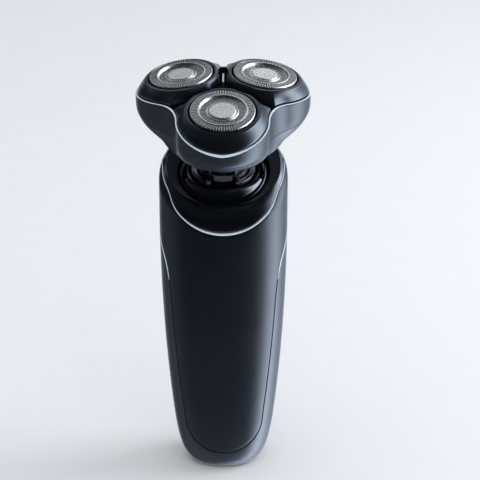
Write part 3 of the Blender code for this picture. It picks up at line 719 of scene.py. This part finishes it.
def plastic(name, colour, worn, rough, grain, grain_size=2600.0, coat=0.0, ior=1.5):
    """Moulded plastic: fine spark-eroded grain with slight variation in colour and gloss."""
    n = Nodes(name)
    cloud = n.spread(n.noise(38.0, 4.0), 0.0, 1.0)
    smudge = n.spread(n.noise(90.0, 5.0, 0.65), rough * 0.9, rough * 1.14)
    fine = n.bump(n.noise(grain_size, 2.0), grain, 0.00006)
    n.set(Base_Color=n.mix(cloud, colour, worn), Roughness=smudge, Normal=fine, IOR=ior)
    if coat:
        n.set(Coat_Weight=coat, Coat_Roughness=0.08)
    return n.material


def metal(name, colour, second, rough, scale=900.0, grain=0.2):
    """Metal with a fine grain and small differences in polish."""
    n = Nodes(name)
    cloud = n.noise(scale, 3.0, 0.6)
    n.set(Base_Color=n.mix(n.spread(cloud, 0.0, 1.0), colour, second), Metallic=1.0)
    n.set(Roughness=n.spread(cloud, rough * 0.8, rough * 1.25), Normal=n.bump(cloud, grain, 0.00003))
    return n.material


# One look for each material slot, and three more for the lobes, the cutters and the guards' discs; the cutters'
# near-black steel is painted shade for the inside of the head seen through the guards' slots.
LOOKS = {
    "satin_navy": plastic(
        "panel_navy", (0.0018, 0.003, 0.0062), (0.0028, 0.0042, 0.0083), 0.33, 0.22, ior=1.42,
    ),
    "satin_black": plastic("shell_black", (0.006, 0.0078, 0.013), (0.008, 0.0102, 0.0165), 0.34, 0.3),
    "gloss_black": plastic(
        "gloss_black", (0.0016, 0.002, 0.0034), (0.0024, 0.003, 0.0048), 0.15, 0.05, ior=1.72,
    ),
    "lobe": plastic("lobe_black", (0.0022, 0.0034, 0.006), (0.0034, 0.0048, 0.0085), 0.24, 0.08, ior=1.6),
    "matt_black": plastic("matt_black", (0.0075, 0.008, 0.011), (0.01, 0.011, 0.014), 0.52, 0.6, 1800.0),
    "ice_blue": plastic("ice_blue", (0.6, 0.74, 0.84), (0.66, 0.79, 0.88), 0.22, 0.06, coat=0.4),
    "steel": metal("etched_steel", (0.7, 0.63, 0.55), (0.8, 0.73, 0.64), 0.28, 1400.0),
    # Near-black cutter steel: painted shade for the inside of the head, seen through the guards' slots.
    "blade": metal("blade_steel", (0.03, 0.031, 0.035), (0.05, 0.05, 0.055), 0.4),
    "disc": metal("disc_steel", (0.64, 0.57, 0.49), (0.95, 0.86, 0.74), 0.28, 2200.0, 0.3),
    "brass": metal("contact_brass", (0.6, 0.44, 0.2), (0.7, 0.54, 0.28), 0.3),
    "grey_polymer": plastic("frame_grey", (0.16, 0.16, 0.17), (0.2, 0.2, 0.21), 0.5, 0.4),
    "white_polymer": plastic("gear_white", (0.55, 0.55, 0.52), (0.62, 0.62, 0.6), 0.42, 0.3),
    "dark_polymer": plastic("dark_polymer", (0.02, 0.02, 0.023), (0.03, 0.03, 0.033), 0.45, 0.4),
    "rubber": plastic("seal_rubber", (0.014, 0.014, 0.015), (0.022, 0.022, 0.023), 0.75, 0.6, 1500.0),
    "battery_sleeve": plastic("cell_sleeve", (0.04, 0.1, 0.2), (0.05, 0.12, 0.23), 0.3, 0.1),
    "board": plastic("board_green", (0.015, 0.09, 0.035), (0.02, 0.12, 0.05), 0.4, 0.3),
}


def dress_cad_nodes():
    """Every CAD node that stays gets the look of its material slot, except the cutters, which get a near-black
    steel as painted shade for the inside of the head.
    """
    for part in frame["record"]["subparts"]:
        node = frame["nodes"].get(part["node"])
        if node is None:
            continue
        node.data.materials.clear()
        # The cutters take the near-black steel: painted shade, not the steel's own colour.
        look = "blade" if part["node"].startswith("cutter") else part["material_slot"]
        node.data.materials.append(LOOKS[look])


# ---------------------------------------------------------------- handle


def circle_on_back(height, radius, steps):
    """A round hole in the back as a loop, clockwise seen from outside."""
    turns = -np.arange(steps) * math.tau / steps
    return on_back(-radius * np.cos(turns), height + radius * np.sin(turns))


def slot_on_back(height, half_x, half_z, radius):
    """A rounded slot in the back as a loop, clockwise seen from outside."""
    outline = resample(rounded_rectangle(half_x, half_z, radius, 6), 0.4)[::-1]
    return on_back(-outline[:, 0], height + outline[:, 1])


def trim_line():
    """The collar trim's middle: an arch at the front that joins the rolled rim at the sides."""
    phi = np.arange(TRIM_STEPS) * math.tau / TRIM_STEPS
    phi = np.where(phi > math.pi, phi - math.tau, phi)
    roll = rim_edge(phi) - roll_at(phi) * 0.42
    arch_v = np.full(TRIM_STEPS, 105.0)
    for _ in range(12):
        x = np.abs(bare_skin(phi, arch_v)[:, 0])
        share = np.clip(x / ARCH_HALF, 0, 0.9995)
        arch = v_at(ARCH_HEIGHT - ARCH_DROP * np.sqrt(1 - share**2))
        arch_v = np.where(np.abs(phi) < ARCH_REACH, arch, BEYOND)
    blend = -ARCH_BLEND * np.logaddexp(-arch_v / ARCH_BLEND, -roll / ARCH_BLEND)
    return np.stack([phi, blend], -1)


def band_half(loop):
    """Half the width of the side trim along the seam, in millimetres."""
    heights = skin(*loop.T)[:, 2]
    rise = np.clip((heights - STRIP_BOTTOM) / 16.0, 0, 1)
    fall = np.clip((STRIP_TOP - heights) / 3.0, 0, 1)
    return STRIP_HALF * np.sqrt(rise) * np.sqrt(fall)


def side_trims(seam):
    """The ice-blue strips in the side seams, tapering to nothing at their lower ends."""
    half = band_half(seam)
    outer = moved_on_skin(seam, half)
    inner = moved_on_skin(seam, -half)
    profile = ((0, -WALL), (0, -0.12), (0.1, 0), (0.5, 0.05), (0.9, 0), (1, -0.12), (1, -WALL))
    for sign, word in ((1, "right"), (-1, "left")):
        chosen = (half > 0.04) & (np.sin(seam[:, 0]) * sign > 0.02)
        rows = skin_rows(outer[chosen], inner[chosen], profile)
        count = len(rows[0])
        faces = grid_faces(len(rows), count, closed_rows=True, closed_columns=False)
        faces.append(tuple(range(0, len(rows) * count, count)))
        faces.append(tuple(range(count - 1, len(rows) * count, count)))
        make("seam_strip_" + word, np.vstack(rows), faces, "ice_blue", "handle", "side_trim_" + word)


def handle_skins():
    """The arched trim, the collar above it, the front panel and the back shell."""
    seam = seam_loop()
    half = band_half(seam)
    line = trim_line()
    sideways = np.abs(np.sin(line[:, 0] / 2))
    trim_half = TRIM_HALF - TRIM_THINNED * np.clip(sideways / 0.5, 0, 1) ** 1.1
    rise = np.stack([0 * trim_half, trim_half], -1)
    low, high = line - rise, line + rise
    gap = np.array([0, GROOVE])
    ring_band("arch_trim", low, high, 5, 0.06, "ice_blue", "handle", "front_trim")
    top = np.stack([line[:, 0], np.maximum(rim_edge(line[:, 0]), high[:, 1] + 0.3)], -1)
    ring_band("collar_ring", high + gap, top, 26, 0.0, "gloss_black", "handle", "collar")
    inner_edge = moved_on_skin(seam, -(half + GROOVE))
    hole = (low - gap)[::-1][::2]
    skin_piece("front_panel", [inner_edge, hole], "satin_navy", "handle", "front_cover")
    outer_edge = moved_on_skin(seam, half + GROOVE)[::-1]
    steps = 260
    foot = np.stack([np.arange(steps) * math.tau / steps, np.full(steps, FOOT + 0.3)], -1)
    holes = [circle_on_back(BUTTON_HEIGHT, BUTTON_HOLE, 64)]
    holes += [circle_on_back(height, SCREW_HOLE, 28) for height in SCREW_HEIGHTS]
    holes.append(slot_on_back(SOCKET_HEIGHT, *SOCKET_HOLE))
    skin_piece("back_shell", [foot, outer_edge] + holes, "satin_black", "handle", "rear_shell")
    side_trims(seam)


def base_plate():
    """The foot, set into the shell's lower end with a fine groove round it."""
    steps = 160
    outline = bare_skin(np.arange(steps) * math.tau / steps, np.full(steps, FOOT))
    centre = np.array((0, outline[:, 1].mean(), 0))
    rings = []
    for scale, height in ((0.955, 1.6), (0.955, 0.25), (0.94, 0.06), (0.92, 0.0), (0.6, 0.0), (0.3, 0.0)):
        ring = centre + (outline - centre) * scale
        ring[:, 2] = height
        rings.append(ring)
    drum("foot_plate", rings, "rubber", "handle")


def neck_pieces():
    """The matt dish inside the rim and the gloss cup under it."""
    steps = 240
    turns = np.arange(steps) * math.tau / steps
    outer = placed(np.linalg.inv(BOWL), skin(turns, rim_edge(turns)))
    heading = np.arctan2(outer[:, 1], outer[:, 0])
    order = np.argsort(heading)
    outer, heading = outer[order], heading[order]
    opening = (BOWL_RADIUS + 0.3) * np.stack([np.cos(heading), np.sin(heading)], -1)
    rows = []
    for share, drop in (
        (0.0, 2.6), (0.0, 0.32), (0.015, 0.2), (0.3, 0.42), (0.6, 0.68), (0.85, 0.88), (0.965, 0.96),
        (1.0, 1.1), (1.0, 2.6),
    ):
        plan = outer[:, :2] * 0.996 * (1 - share) + opening * share
        rows.append(np.column_stack([plan, outer[:, 2] * (1 - share) - drop]))
    hoop("dish_plate", rows, "matt_black", "handle", "neck_dish", crease=35.0, local=BOWL)
    radius = BOWL_RADIUS
    profile = rounded(
        (
            (radius, -2.9), (radius, -8.5), (radius - 3.6, -14.6), (11.4, -14.6), (11.4, -13.4),
            (radius - 4.4, -13.4), (radius - 0.8, -8.0), (radius - 0.8, -2.9),
        ),
        0.6, 5,
    )
    hoop("bowl", spun(profile, 160), "gloss_black", "handle", "neck_bowl", crease=35.0, local=BOWL)


def shroud_column(turn):
    """One column of the shroud's upper and lower points, in the bowl's frame."""
    into_neck = np.linalg.inv(NECK) @ BOWL
    into_bowl = np.linalg.inv(BOWL) @ NECK
    bead = ((16.5, -3.4), (16.5, -2.0), (16.43, -1.75), (16.25, -1.65), (16.06, -1.73), (16.0, -1.9))
    upper = stood(bead, turn)
    lower = stood(((15.7, -3.4),) + ((15.7, -2.7),) * 5, turn)
    lip = placed(into_neck, upper[-1])
    heading = math.atan2(lip[1], lip[0])
    start = np.array((math.hypot(lip[0], lip[1]), lip[2]))
    finish = np.array((SHROUD_HOLE, SHROUD_TOP))
    chord = (finish - start) / np.linalg.norm(finish - start)
    middle = (start + finish) / 2 + np.array((chord[1], -chord[0])) * 1.6
    dense = np.linspace(0, 1, 60)[:, None]
    curve = bend(start, middle, finish, dense)
    ends = [np.interp(-r, -curve[:, 0], dense[:, 0]) for r in (15.5, 13.9)]
    near, far = max(ends[0], 0.12), min(max(ends[1], 0.5), 0.93)
    stops = [near * 0.5, near] + list(np.linspace(near, far, 5)[1:]) + [(far + 1) / 2, 0.98, 1.0]
    for t in stops:
        point = bend(start, middle, finish, t)
        along = (middle - start) * (1 - t) + (finish - middle) * t
        below = point - np.array((along[1], -along[0])) / np.linalg.norm(along) * SHROUD_WALL
        upper.append(placed(into_bowl, stood([point], heading)[0]))
        lower.append(placed(into_bowl, stood([below], heading)[0]))
    return upper, lower


def shroud():
    """The convex gloss band round the coupling, open over the gimbal's side pins."""
    steps = 240
    columns = np.array([shroud_column(math.tau * step / steps) for step in range(steps)])
    upper, lower = columns.transpose(1, 2, 0, 3)

    def is_open(row, column):
        turn = abs((column + 0.5) * 360.0 / steps % 180.0 - 90.0)
        return 7 <= row <= 10 and turn > 72.0

    pierced("neck_band", upper, lower, is_open, "gloss_black", "handle", "neck_shroud", local=BOWL)


def coupling():
    """The coupling cup with its front notch, the gimbal ring and the two latch tabs."""
    edge = math.degrees(math.asin(6.8 / 12.3))
    turns = np.concatenate([np.linspace(-edge, edge, 40), np.linspace(edge + 0.05, 359.95 - edge, 180)])
    loops = []
    for index, turn in enumerate(turns):
        top = 2.7 if index < 40 else 5.0
        profile = (
            (3.2, -3.0), (10.6, -3.0), (11.8, -1.4), (11.8, 2.1), (12.3, 2.5), (12.3, max(top, 2.8)),
            (10.2, top), (10.2, -1.4), (3.2, -1.4),
        )
        loops.append(stood(rounded(profile, 0.28, 4), math.radians(turn - 90.0)))
    hoop("coupling_cup", loops, "gloss_black", "mount", "head_mount", crease=35.0, local=NECK)
    profile = rounded(((12.4, -1.2), (13.45, -1.2), (13.45, 0.95), (12.4, 0.95)), 0.3, 4)
    hoop("gimbal_ring", spun(profile, 128), "matt_black", "yoke", "neck_yoke", crease=35.0, local=NECK)
    for side, word in ((-1, "left"), (1, "right")):
        low, high = (side * 5.6 - 0.9, -10.75, 2.95), (side * 5.6 + 0.9, -9.2, 5.9)
        block("latch_tab_" + word, low, high, 0.3, "gloss_black", "latch_" + word[0], "latch_" + word,
              local=NECK)


# ---------------------------------------------------------------- head


def from_tip(angle):
    """Radians from the tip of the nearest lobe, at angles in degrees."""
    return np.radians((np.asarray(angle, float) - LOBE_ANGLES[0] + 60.0) % 120.0 - 60.0)


def trefoil_radius(angle):
    """The head's outline as a distance from its axis, at angles in degrees."""
    turn = np.abs(from_tip(angle))
    cosine, sine = np.cos(turn), np.sin(turn)
    valley = (LOBE_OFFSET + math.sqrt(LOBE_OFFSET**2 + 4 * (WAIST_REACH**2 - LOBE_OFFSET**2))) / 2
    fillet = valley * np.array((0.5, math.sqrt(0.75)))
    lobe = np.array((LOBE_OFFSET, 0.0))
    touch = lobe + (fillet - lobe) * LOBE_RADIUS / WAIST_REACH
    along = cosine * LOBE_OFFSET
    convex = along + np.sqrt(np.maximum(along**2 - LOBE_OFFSET**2 + LOBE_RADIUS**2, 0))
    along = cosine * fillet[0] + sine * fillet[1]
    hollow = along - np.sqrt(np.maximum(along**2 - valley**2 + WAIST_FILLET**2, 0))
    return np.where(turn <= math.atan2(touch[1], touch[0]), convex, hollow)


def waist_share(angle):
    """0 at a lobe's tip and 1 at the waist between two lobes."""
    return 0.5 - 0.5 * np.cos(3 * from_tip(angle))


def skin_radius(angle, depth):
    fall = np.clip((SKIN_START - depth) / (SKIN_START - HEAD_END), 0, 1)
    share = 1 - (1 - fall**SKIN_BEND) ** (1 / SKIN_ROUND)
    return trefoil_radius(angle) * (1 - share) + EDGE_RADIUS * share - SKIN_INSET


def accent_height(angle):
    return ACCENT_LOW + ACCENT_RISE * waist_share(angle) ** 0.68


def shell_end(angle):
    return SHELL_END - SHELL_DROP * waist_share(angle) ** 1.57


def around_head(section_at):
    """A closed section of the head for each degree round its axis."""
    return [stood(section_at(angle), math.radians(angle)) for angle in range(360)]


def shell_section(angle):
    top = accent_height(angle) - 0.45
    end = shell_end(angle)
    outer = [(skin_radius(angle, h), h) for h in np.linspace(top, end, 14)]
    first, last = outer[0], outer[-1]
    rounding = [(first[0] - 0.25, first[1]), (first[0] - 0.07, first[1] - 0.07)]
    outer[0] = (first[0], first[1] - 0.25)
    outer[-1] = (last[0], last[1] + 0.12)
    ending = [(last[0] - 0.05, last[1] + 0.03), (last[0] - 0.15, last[1])]
    inner = [(last[0] - 1.5, last[1]), (outer[6][0] - 1.5, outer[6][1]), (first[0] - 0.6, first[1])]
    return rounding + outer + ending + inner


def accent_section(angle):
    tip = 1 - waist_share(angle)
    low = accent_height(angle) - 0.42
    high = low + 0.24 + 0.6 * tip**6
    outer = skin_radius(angle, low) + 0.03
    middle = (low + high) / 2
    return (
        (outer - 0.12, low), (outer, low + 0.07), (outer + 0.02, middle), (outer - 0.06, high - 0.12),
        (outer - 0.22, high), (outer - 0.7, high), (outer - 0.7, low),
    )


def base_section(angle):
    top = shell_end(angle) - 0.16
    falls = 1 - (1 - np.linspace(0, 1, 16)) ** 2.2
    heights = top + (HEAD_END - top) * falls
    rim = [(skin_radius(angle, h) - 0.12 * (1 - f), h) for h, f in zip(heights, falls)]
    rim[0] = (rim[0][0], rim[0][1] - 0.08)
    rim.insert(0, (rim[0][0] - 0.12, top))
    floor = [(EDGE_RADIUS - 3.0, HEAD_END), (10.0, HEAD_END), (8.0, HEAD_END), (8.0, HEAD_END + 1.4)]
    return rim + floor + [(EDGE_RADIUS - 1.8, HEAD_END + 1.4), (rim[0][0] - 1.5, top)]


def stem_tube():
    """The round stem under the head, with the window at its front."""
    steps = 180
    profile = (
        (10.6, HEAD_END + 0.3), (10.1, HEAD_END - 0.25), (9.85, HEAD_END - 0.9), (9.8, -24.0), (9.8, -30.6),
        (9.8, -32.1), (9.8, -33.6), (9.8, -37.0), (9.85, -37.3), (9.85, -40.2), (9.6, -40.55),
    )
    upper = spun(profile, steps)
    lower = upper * np.array((0.8, 0.8, 1.0))

    def is_open(row, column):
        return row in (4, 5) and abs((column + 0.5) * 360.0 / steps - 270.0) < 28.0

    pierced("stem", upper, lower, is_open, "satin_black", "head", look="gloss_black", crease=35.0,
            local=HEAD)


def head_shells():
    hoop("outer_shell", around_head(shell_section), "satin_navy", "head", "head_shell", local=HEAD)
    hoop("accent_line", around_head(accent_section), "ice_blue", "head", "head_accent", crease=50.0,
         local=HEAD)
    hoop("lower_shell", around_head(base_section), "satin_black", "head", "head_base", local=HEAD)


def lobe_outline(turn, radius, side, facet, soft):
    """Distance from a lobe's centre to its edge, its corners softened."""
    turn = abs(turn)
    cosine, sine = math.cos(turn), math.sin(turn)
    found = radius
    if turn > math.radians(90.3):
        along = cosine * -0.15 + sine * WAIST_REACH
        room = along**2 - 0.15**2 - WAIST_REACH**2 + (WAIST_REACH - radius) ** 2
        found = along - math.sqrt(room) if room > 0 and along > 0 else 60.0
    choices = [found]
    towards = math.cos(turn - math.radians(150))
    if towards > 0.05:
        choices.append(side / towards)
    if -cosine > 0.05:
        choices.append(facet / -cosine)
    least = min(choices)
    return least - soft * math.log(sum(math.exp((least - c) / soft) for c in choices))


def lobe_foot(turn, index, into):
    """The lobe's lower edge, nested in the accent ring, in the lobe's own frame."""
    low = lobe_outline(turn, LOBE_RADIUS - LOBE_INSET, LOBE_SIDE, 15.4, 0.35)
    heading = math.radians(LOBE_ANGLES[index])
    outward = np.array((math.cos(heading), math.sin(heading)))
    along = np.array((-outward[1], outward[0]))
    flat = outward * (LOBE_OFFSET + low * math.cos(turn)) + along * low * math.sin(turn)
    reach = math.hypot(*flat)
    height = accent_height(math.degrees(math.atan2(flat[1], flat[0]))) + 0.2
    top = ACCENT_LOW + ACCENT_RISE + 0.2
    share = min(max((reach - 12.0) / 5.0, 0.0), 1.0)
    height = top * (1 - share) + height * share
    return placed(into, (flat[0], flat[1], height))


def lobe_section(turn, index, into):
    foot = lobe_foot(turn, index, into)
    reach = math.hypot(foot[0], foot[1])
    heading = math.atan2(foot[1], foot[0])
    top = min(lobe_outline(turn, LIP_RADIUS, LOBE_SIDE - 1.2, 14.0, 0.4), LIP_RADIUS)
    shoulder = min(top + 0.45, reach - 0.3)
    drop = 0.15 + 0.55 * max(math.cos(turn), 0.0) ** 1.5
    low = (reach * 0.988, foot[2] + 0.95)
    high = (shoulder, -0.6 - drop)
    middle = ((low[0] + high[0]) / 2 + 0.22, (low[1] + high[1]) / 2)
    inner = 1 - 1.3 / reach
    path = [
        (reach, foot[2], heading),
        (*low, heading),
        (*middle, (heading + turn) / 2 if abs(heading - turn) < 1 else turn),
        (*high, turn),
        (top + 0.06, -0.34 - drop, turn),
        (top - 0.03, -drop, turn),
        (LOBE_OPENING, 0.0, turn),
        (LOBE_OPENING, -3.2, turn),
        (shoulder - 0.75, -3.2, turn),
        (reach * inner, foot[2], heading),
    ]
    points = [np.array((r * math.cos(a), r * math.sin(a), h)) for r, h, a in path]
    return rounded(points, 0.42, 5)


def lobe_turns():
    """Angles round a lobe, denser at its corners."""
    turns = np.concatenate([np.linspace(0, 96, 40), np.linspace(97, 128, 34), np.linspace(129, 180, 30)])
    return np.radians(np.concatenate([turns, -turns[-2:0:-1]]))


def guard_rings():
    """Radii and heights over the guard's upper face, with one wherever a slotted track ends."""
    corners = (
        (GUARD_RADIUS, -2.8), (GUARD_RADIUS, 0.02), (11.95, 0.36), (11.6, 0.42), (9.5, 0.44), (9.2, 0.66),
        (8.8, 0.66), (8.45, -0.2), (6.0, -0.24), (5.75, 0.02), (5.45, 0.02),
    )
    profile = rounded(corners, 0.14, 3, closed=False)
    rings = [profile[0]]
    for point in profile[1:]:
        for edge in sorted(OUTER_TRACK + INNER_TRACK, reverse=True):
            before = rings[-1]
            if before[0] > edge > point[0]:
                share = (before[0] - edge) / (before[0] - point[0])
                rings.append(before * (1 - share) + point * share)
        rings.append(point)
    return np.array(rings)


def guard_piece(index, local):
    """A guard whose outer and inner tracks are cut through by fine radial slots."""
    rings = guard_rings()
    tangent = np.gradient(rings, axis=0)
    side = np.stack([tangent[:, 1], -tangent[:, 0]], -1)
    under = rings - side / np.linalg.norm(side, axis=1, keepdims=True) * GUARD_WALL
    under[0] = rings[0] - np.array((GUARD_WALL, 0.0))
    columns = SLOTS * 5

    def is_open(row, column):
        middle = (rings[row, 0] + rings[row + 1, 0]) / 2
        if OUTER_TRACK[0] < middle < OUTER_TRACK[1]:
            return column % 5 < 3
        return INNER_TRACK[0] < middle < INNER_TRACK[1] and column % 6 < 4

    word = str(index + 1)
    pierced("slotted_guard_" + word, spun(rings, columns), spun(under, columns), is_open, "steel",
            "guard_body_" + word, "guard_" + word, crease=32.0, local=local)


def cap_piece(index, local):
    """The disc in the middle of a guard, its top brushed in fine rays."""
    profile = rounded(
        ((0.0, 0.3), (1.2, 0.32), (3.0, 0.36), (4.6, 0.38), (DISC_RADIUS - 0.05, 0.12), (DISC_RADIUS, -0.9),
         (0.0, -0.9)),
        0.12, 4, closed=False,
    )
    count = np.arange(180)
    rays = np.sin(count * 2.4) + 0.8 * np.sin(count * 1.13 + index) + 0.6 * np.sin(count * 0.47)
    rings = spun(profile, len(count))
    for ring, (radius, height) in zip(rings, profile):
        ring[:, 2] += rays * RAY_HEIGHT * (max(radius, 1e-3) / DISC_RADIUS) * (height > 0.25)
    word = str(index + 1)
    drum("guard_disc_" + word, rings, "steel", "guard_body_" + word, "guard_cap_" + word, look="disc",
         crease=50.0, local=local)


def lobe_pieces():
    """The three lobes, each with its guard and the guard's disc."""
    for index in range(3):
        local = lobe_frame(index)
        into = np.linalg.inv(local) @ HEAD
        loops = [lobe_section(turn, index, into) for turn in lobe_turns()]
        word = str(index + 1)
        hoop("lobe_cover_" + word, loops, "gloss_black", "lobe_body_" + word, "lobe_" + word,
             look="lobe", crease=50.0, local=local)
        guard_piece(index, local)
        cap_piece(index, local)


def groove_pieces():
    """The small pin where the three lobes meet and the bar in the groove behind it."""
    profile = rounded(
        ((0.0, -2.95), (0.3, -2.95), (0.36, -3.15), (0.62, -3.15), (0.68, -2.9), (1.08, -3.3), (1.1, -10.1),
         (0.0, -10.1)),
        0.12, 4, closed=False,
    )
    drum("centre_stud", spun(profile, 64), "ice_blue", "head", "centre_pin", crease=35.0, local=HEAD)
    block("groove_rib", (-0.45, 7.4, -10.2), (0.45, 14.4, -2.4), 0.2, "steel", "head", "groove_bar",
          local=HEAD)


# ---------------------------------------------------------------- back


def back_frame(height):
    """A frame on the back of the handle whose z points out of the back."""
    return frame_of((0, 0, height), (-1, 0, 0), (0, 0, 1), (0, 1, 0))


def power_button():
    """The bezel ring and the button's dished cap."""
    place = back_frame(BUTTON_HEIGHT)
    bezel = rounded(((7.2, 16.5), (7.2, 21.55), (6.85, 21.85), (6.25, 21.6), (6.2, 16.5)), 0.18, 4)
    hoop("button_ring", spun(bezel, 96), "ice_blue", "handle", "button_bezel", crease=35.0, local=place)
    profile = rounded(
        ((0.0, 17.6), (5.9, 17.6), (5.9, 21.25), (5.45, 21.66), (4.2, 21.42), (3.9, 21.24), (3.6, 21.4),
         (1.8, 21.2), (0.0, 21.16)),
        0.2, 4, closed=False,
    )
    drum("button_cap", spun(profile, 96), "gloss_black", "button", "power_button", crease=30.0,
         local=place)


def charge_inlet():
    """The inlet's moulded cup with its two pins."""
    place = back_frame(SOCKET_HEIGHT)
    rings = []
    for half_x, half_z, radius, depth in (
        (4.9, 3.7, 2.7, 9.0), (4.9, 3.7, 2.7, 15.15), (4.78, 3.58, 2.58, 15.38), (4.45, 3.25, 2.3, 15.4),
        (4.1, 2.9, 2.05, 15.1), (4.0, 2.8, 2.0, 14.6), (4.0, 2.8, 2.0, 10.8), (3.8, 2.6, 1.8, 10.6),
    ):
        rings.append([(x, z, depth) for x, z in rounded_rectangle(half_x, half_z, radius, 8)])
    drum("inlet_cup", rings, "dark_polymer", "handle", "charge_socket", crease=35.0, local=place)
    pin = ((0.0, 10.8), (0.6, 10.8), (0.6, 12.6), (0.5, 12.95), (0.3, 13.15), (0.0, 13.2))
    for side, word in ((-1, "left"), (1, "right")):
        drum("inlet_pin_" + word, spun(pin, 32), "brass", "handle", "socket_pin_" + word, crease=50.0,
             local=shifted(place, (side * 1.6, 0, 0)))


def case_screws():
    """Small hexagon-socket screws."""
    loops = []
    for turn in np.arange(72) * math.tau / 72:
        inner = 0.62 / math.cos((turn % (math.tau / 6)) - math.tau / 12)
        profile = (
            (0.01, 13.2), (0.8, 13.2), (0.8, 17.2), (1.3, 17.2), (1.3, 18.4), (1.15, 18.58),
            (inner + 0.06, 18.58), (inner, 18.5), (inner, 17.9), (0.01, 17.8),
        )
        loops.append(stood(profile, turn))
    for height, word in zip(SCREW_HEIGHTS, ("lower", "upper")):
        hoop("screw_" + word, loops, "steel", "handle", "case_screw_" + word, crease=35.0,
             local=back_frame(height))


# ---------------------------------------------------------------- studio


def softbox(name, place, size, power):
    """A rectangular area light that aims at the shaver's middle and shows in no mirror."""
    light = bpy.data.lights.new(name, "AREA")
    light.shape = "RECTANGLE"
    light.size, light.size_y = size
    light.energy = power
    made = added(name, light)
    made.location = place
    made.rotation_euler = (Vector((0, 0, 0.07)) - Vector(place)).to_track_quat("-Z", "Y").to_euler()
    made.visible_glossy = False


def surroundings(tree):
    """What the glossy surfaces mirror: a big softbox on the right, dark in front, pale behind."""
    place = tree.nodes.new("ShaderNodeTexCoord").outputs["Generated"]
    split = tree.nodes.new("ShaderNodeSeparateXYZ")
    connect(tree, split.inputs[0], place)
    x, y, z = split.outputs

    def calculate(operation, *values):
        return add_node(tree, "ShaderNodeMath", 0, values, operation=operation)

    def ramp(value, *limits):
        return add_node(tree, "ShaderNodeMapRange", 0, (value, *limits), interpolation_type="SMOOTHSTEP")

    turn = calculate("ARCTAN2", x, calculate("MULTIPLY", y, -1.0))
    box_sides = calculate("MULTIPLY", ramp(turn, 0.8, 1.6), ramp(turn, 1.6, 2.6, 1.0, 0.08))
    core = calculate("MULTIPLY", ramp(turn, 1.1, 1.4), ramp(turn, 1.75, 2.05, 1.0, 0.0))
    box_sides = calculate("MULTIPLY_ADD", core, 0.8, box_sides)
    box = calculate("MULTIPLY", box_sides, ramp(z, 0.66, 0.9, 1.0, 0.0))
    behind = calculate("MULTIPLY", ramp(calculate("ABSOLUTE", turn), 2.3, 3.0), ramp(z, 0.1, 0.4, 1.0, 0.0))
    left = calculate("MULTIPLY", ramp(turn, -1.0, -1.6), ramp(turn, -2.5, -1.9, 0.15, 1.0))
    left = calculate("MULTIPLY", left, ramp(z, -0.3, 0.1, 1.0, 0.2))
    front_low = calculate("MULTIPLY", ramp(z, -0.4, -0.6), ramp(turn, -2.0, -1.0))
    lid = calculate("MULTIPLY", ramp(y, 0.12, 0.4), ramp(z, 0.42, 0.58))
    haze = ramp(z, 0.2, 0.6)
    total = calculate("MULTIPLY", box, BOX_GLOW)
    for value, glow in ((behind, 0.9), (left, 0.4), (front_low, 0.62), (lid, 0.66), (haze, 0.03)):
        total = calculate("MULTIPLY_ADD", value, glow, total)
    return calculate("ADD", total, 0.015)


def studio():
    world = bpy.data.worlds.new("studio")
    bpy.context.scene.world = world
    world.use_nodes = True
    world.cycles.sampling_method = "NONE"
    tree = world.node_tree
    soft = tree.nodes["Background"]
    soft.inputs["Color"].default_value = (0.965, 0.98, 1.0, 1)
    soft.inputs["Strength"].default_value = SKY_GLOW
    tint = (0.8, 0.92, 1.12, 1)
    mirrored = add_node(tree, "ShaderNodeBackground", 0, (tint, surroundings(tree)))
    glossy = add_node(tree, "ShaderNodeLightPath", "Is Glossy Ray", ())
    either = add_node(tree, "ShaderNodeMixShader", 0, (glossy, soft.outputs[0], mirrored))
    tree.links.new(either, tree.nodes["World Output"].inputs["Surface"])
    bpy.context.scene.view_settings.view_transform = "Standard"
    softbox("key_right", (0.95, 0.25, 0.55), (0.7, 0.7), KEY_POWER)
    softbox("fill_front", (0.2, -0.9, 0.9), (0.9, 0.6), 1.5)


def floor():
    """A seamless pale floor that curves up into the backdrop far away on every side."""
    n = Nodes("paper")
    fibre = n.noise(60.0, 6.0, 0.6)
    fibre = n.spread(fibre, 0.0, 1.0, 0.35, 0.65)
    n.set(Base_Color=n.mix(fibre, (0.79, 0.8, 0.81), (0.8, 0.81, 0.82)), Roughness=0.75)
    section_points = [(0.0, 0.0), (0.4, 0.0), (1.5, 0.0), (4.0, 0.0), (FLOOR_FLAT, 0.0)]
    for turn in np.radians(np.arange(7.5, 91.0, 7.5)):
        section_points.append((FLOOR_FLAT * (1 + math.sin(turn)), FLOOR_FLAT / 2 * (1 - math.cos(turn))))
    rings = spun(section_points, 96)
    faces = grid_faces(*rings.shape[:2])
    faces.append(tuple(range(rings.shape[1])))
    mesh = bpy.data.meshes.new("backdrop")
    mesh.from_pydata(rings.reshape(-1, 3).tolist(), [], faces)
    for polygon in mesh.polygons:
        polygon.use_smooth = True
    mesh.materials.append(n.material)
    made = added("backdrop", mesh)
    made.visible_glossy = False


def camera():
    """The camera at the photograph's viewing angle."""
    data = bpy.data.cameras.new("camera")
    data.lens = CAMERA_LENS
    data.sensor_width = 36.0
    data.clip_start = 0.01
    made = added("camera", data)
    back = Vector((0.0, -math.cos(CAMERA_ELEVATION), math.sin(CAMERA_ELEVATION)))
    made.location = Vector(CAMERA_TARGET) + back * CAMERA_DISTANCE
    made.rotation_euler = (-back).to_track_quat("-Z", "Y").to_euler()
    bpy.context.scene.camera = made


dress_cad_nodes()
handle_skins()
base_plate()
neck_pieces()
shroud()
coupling()
head_shells()
stem_tube()
lobe_pieces()
groove_pieces()
power_button()
charge_inlet()
case_screws()
studio()
floor()
camera()
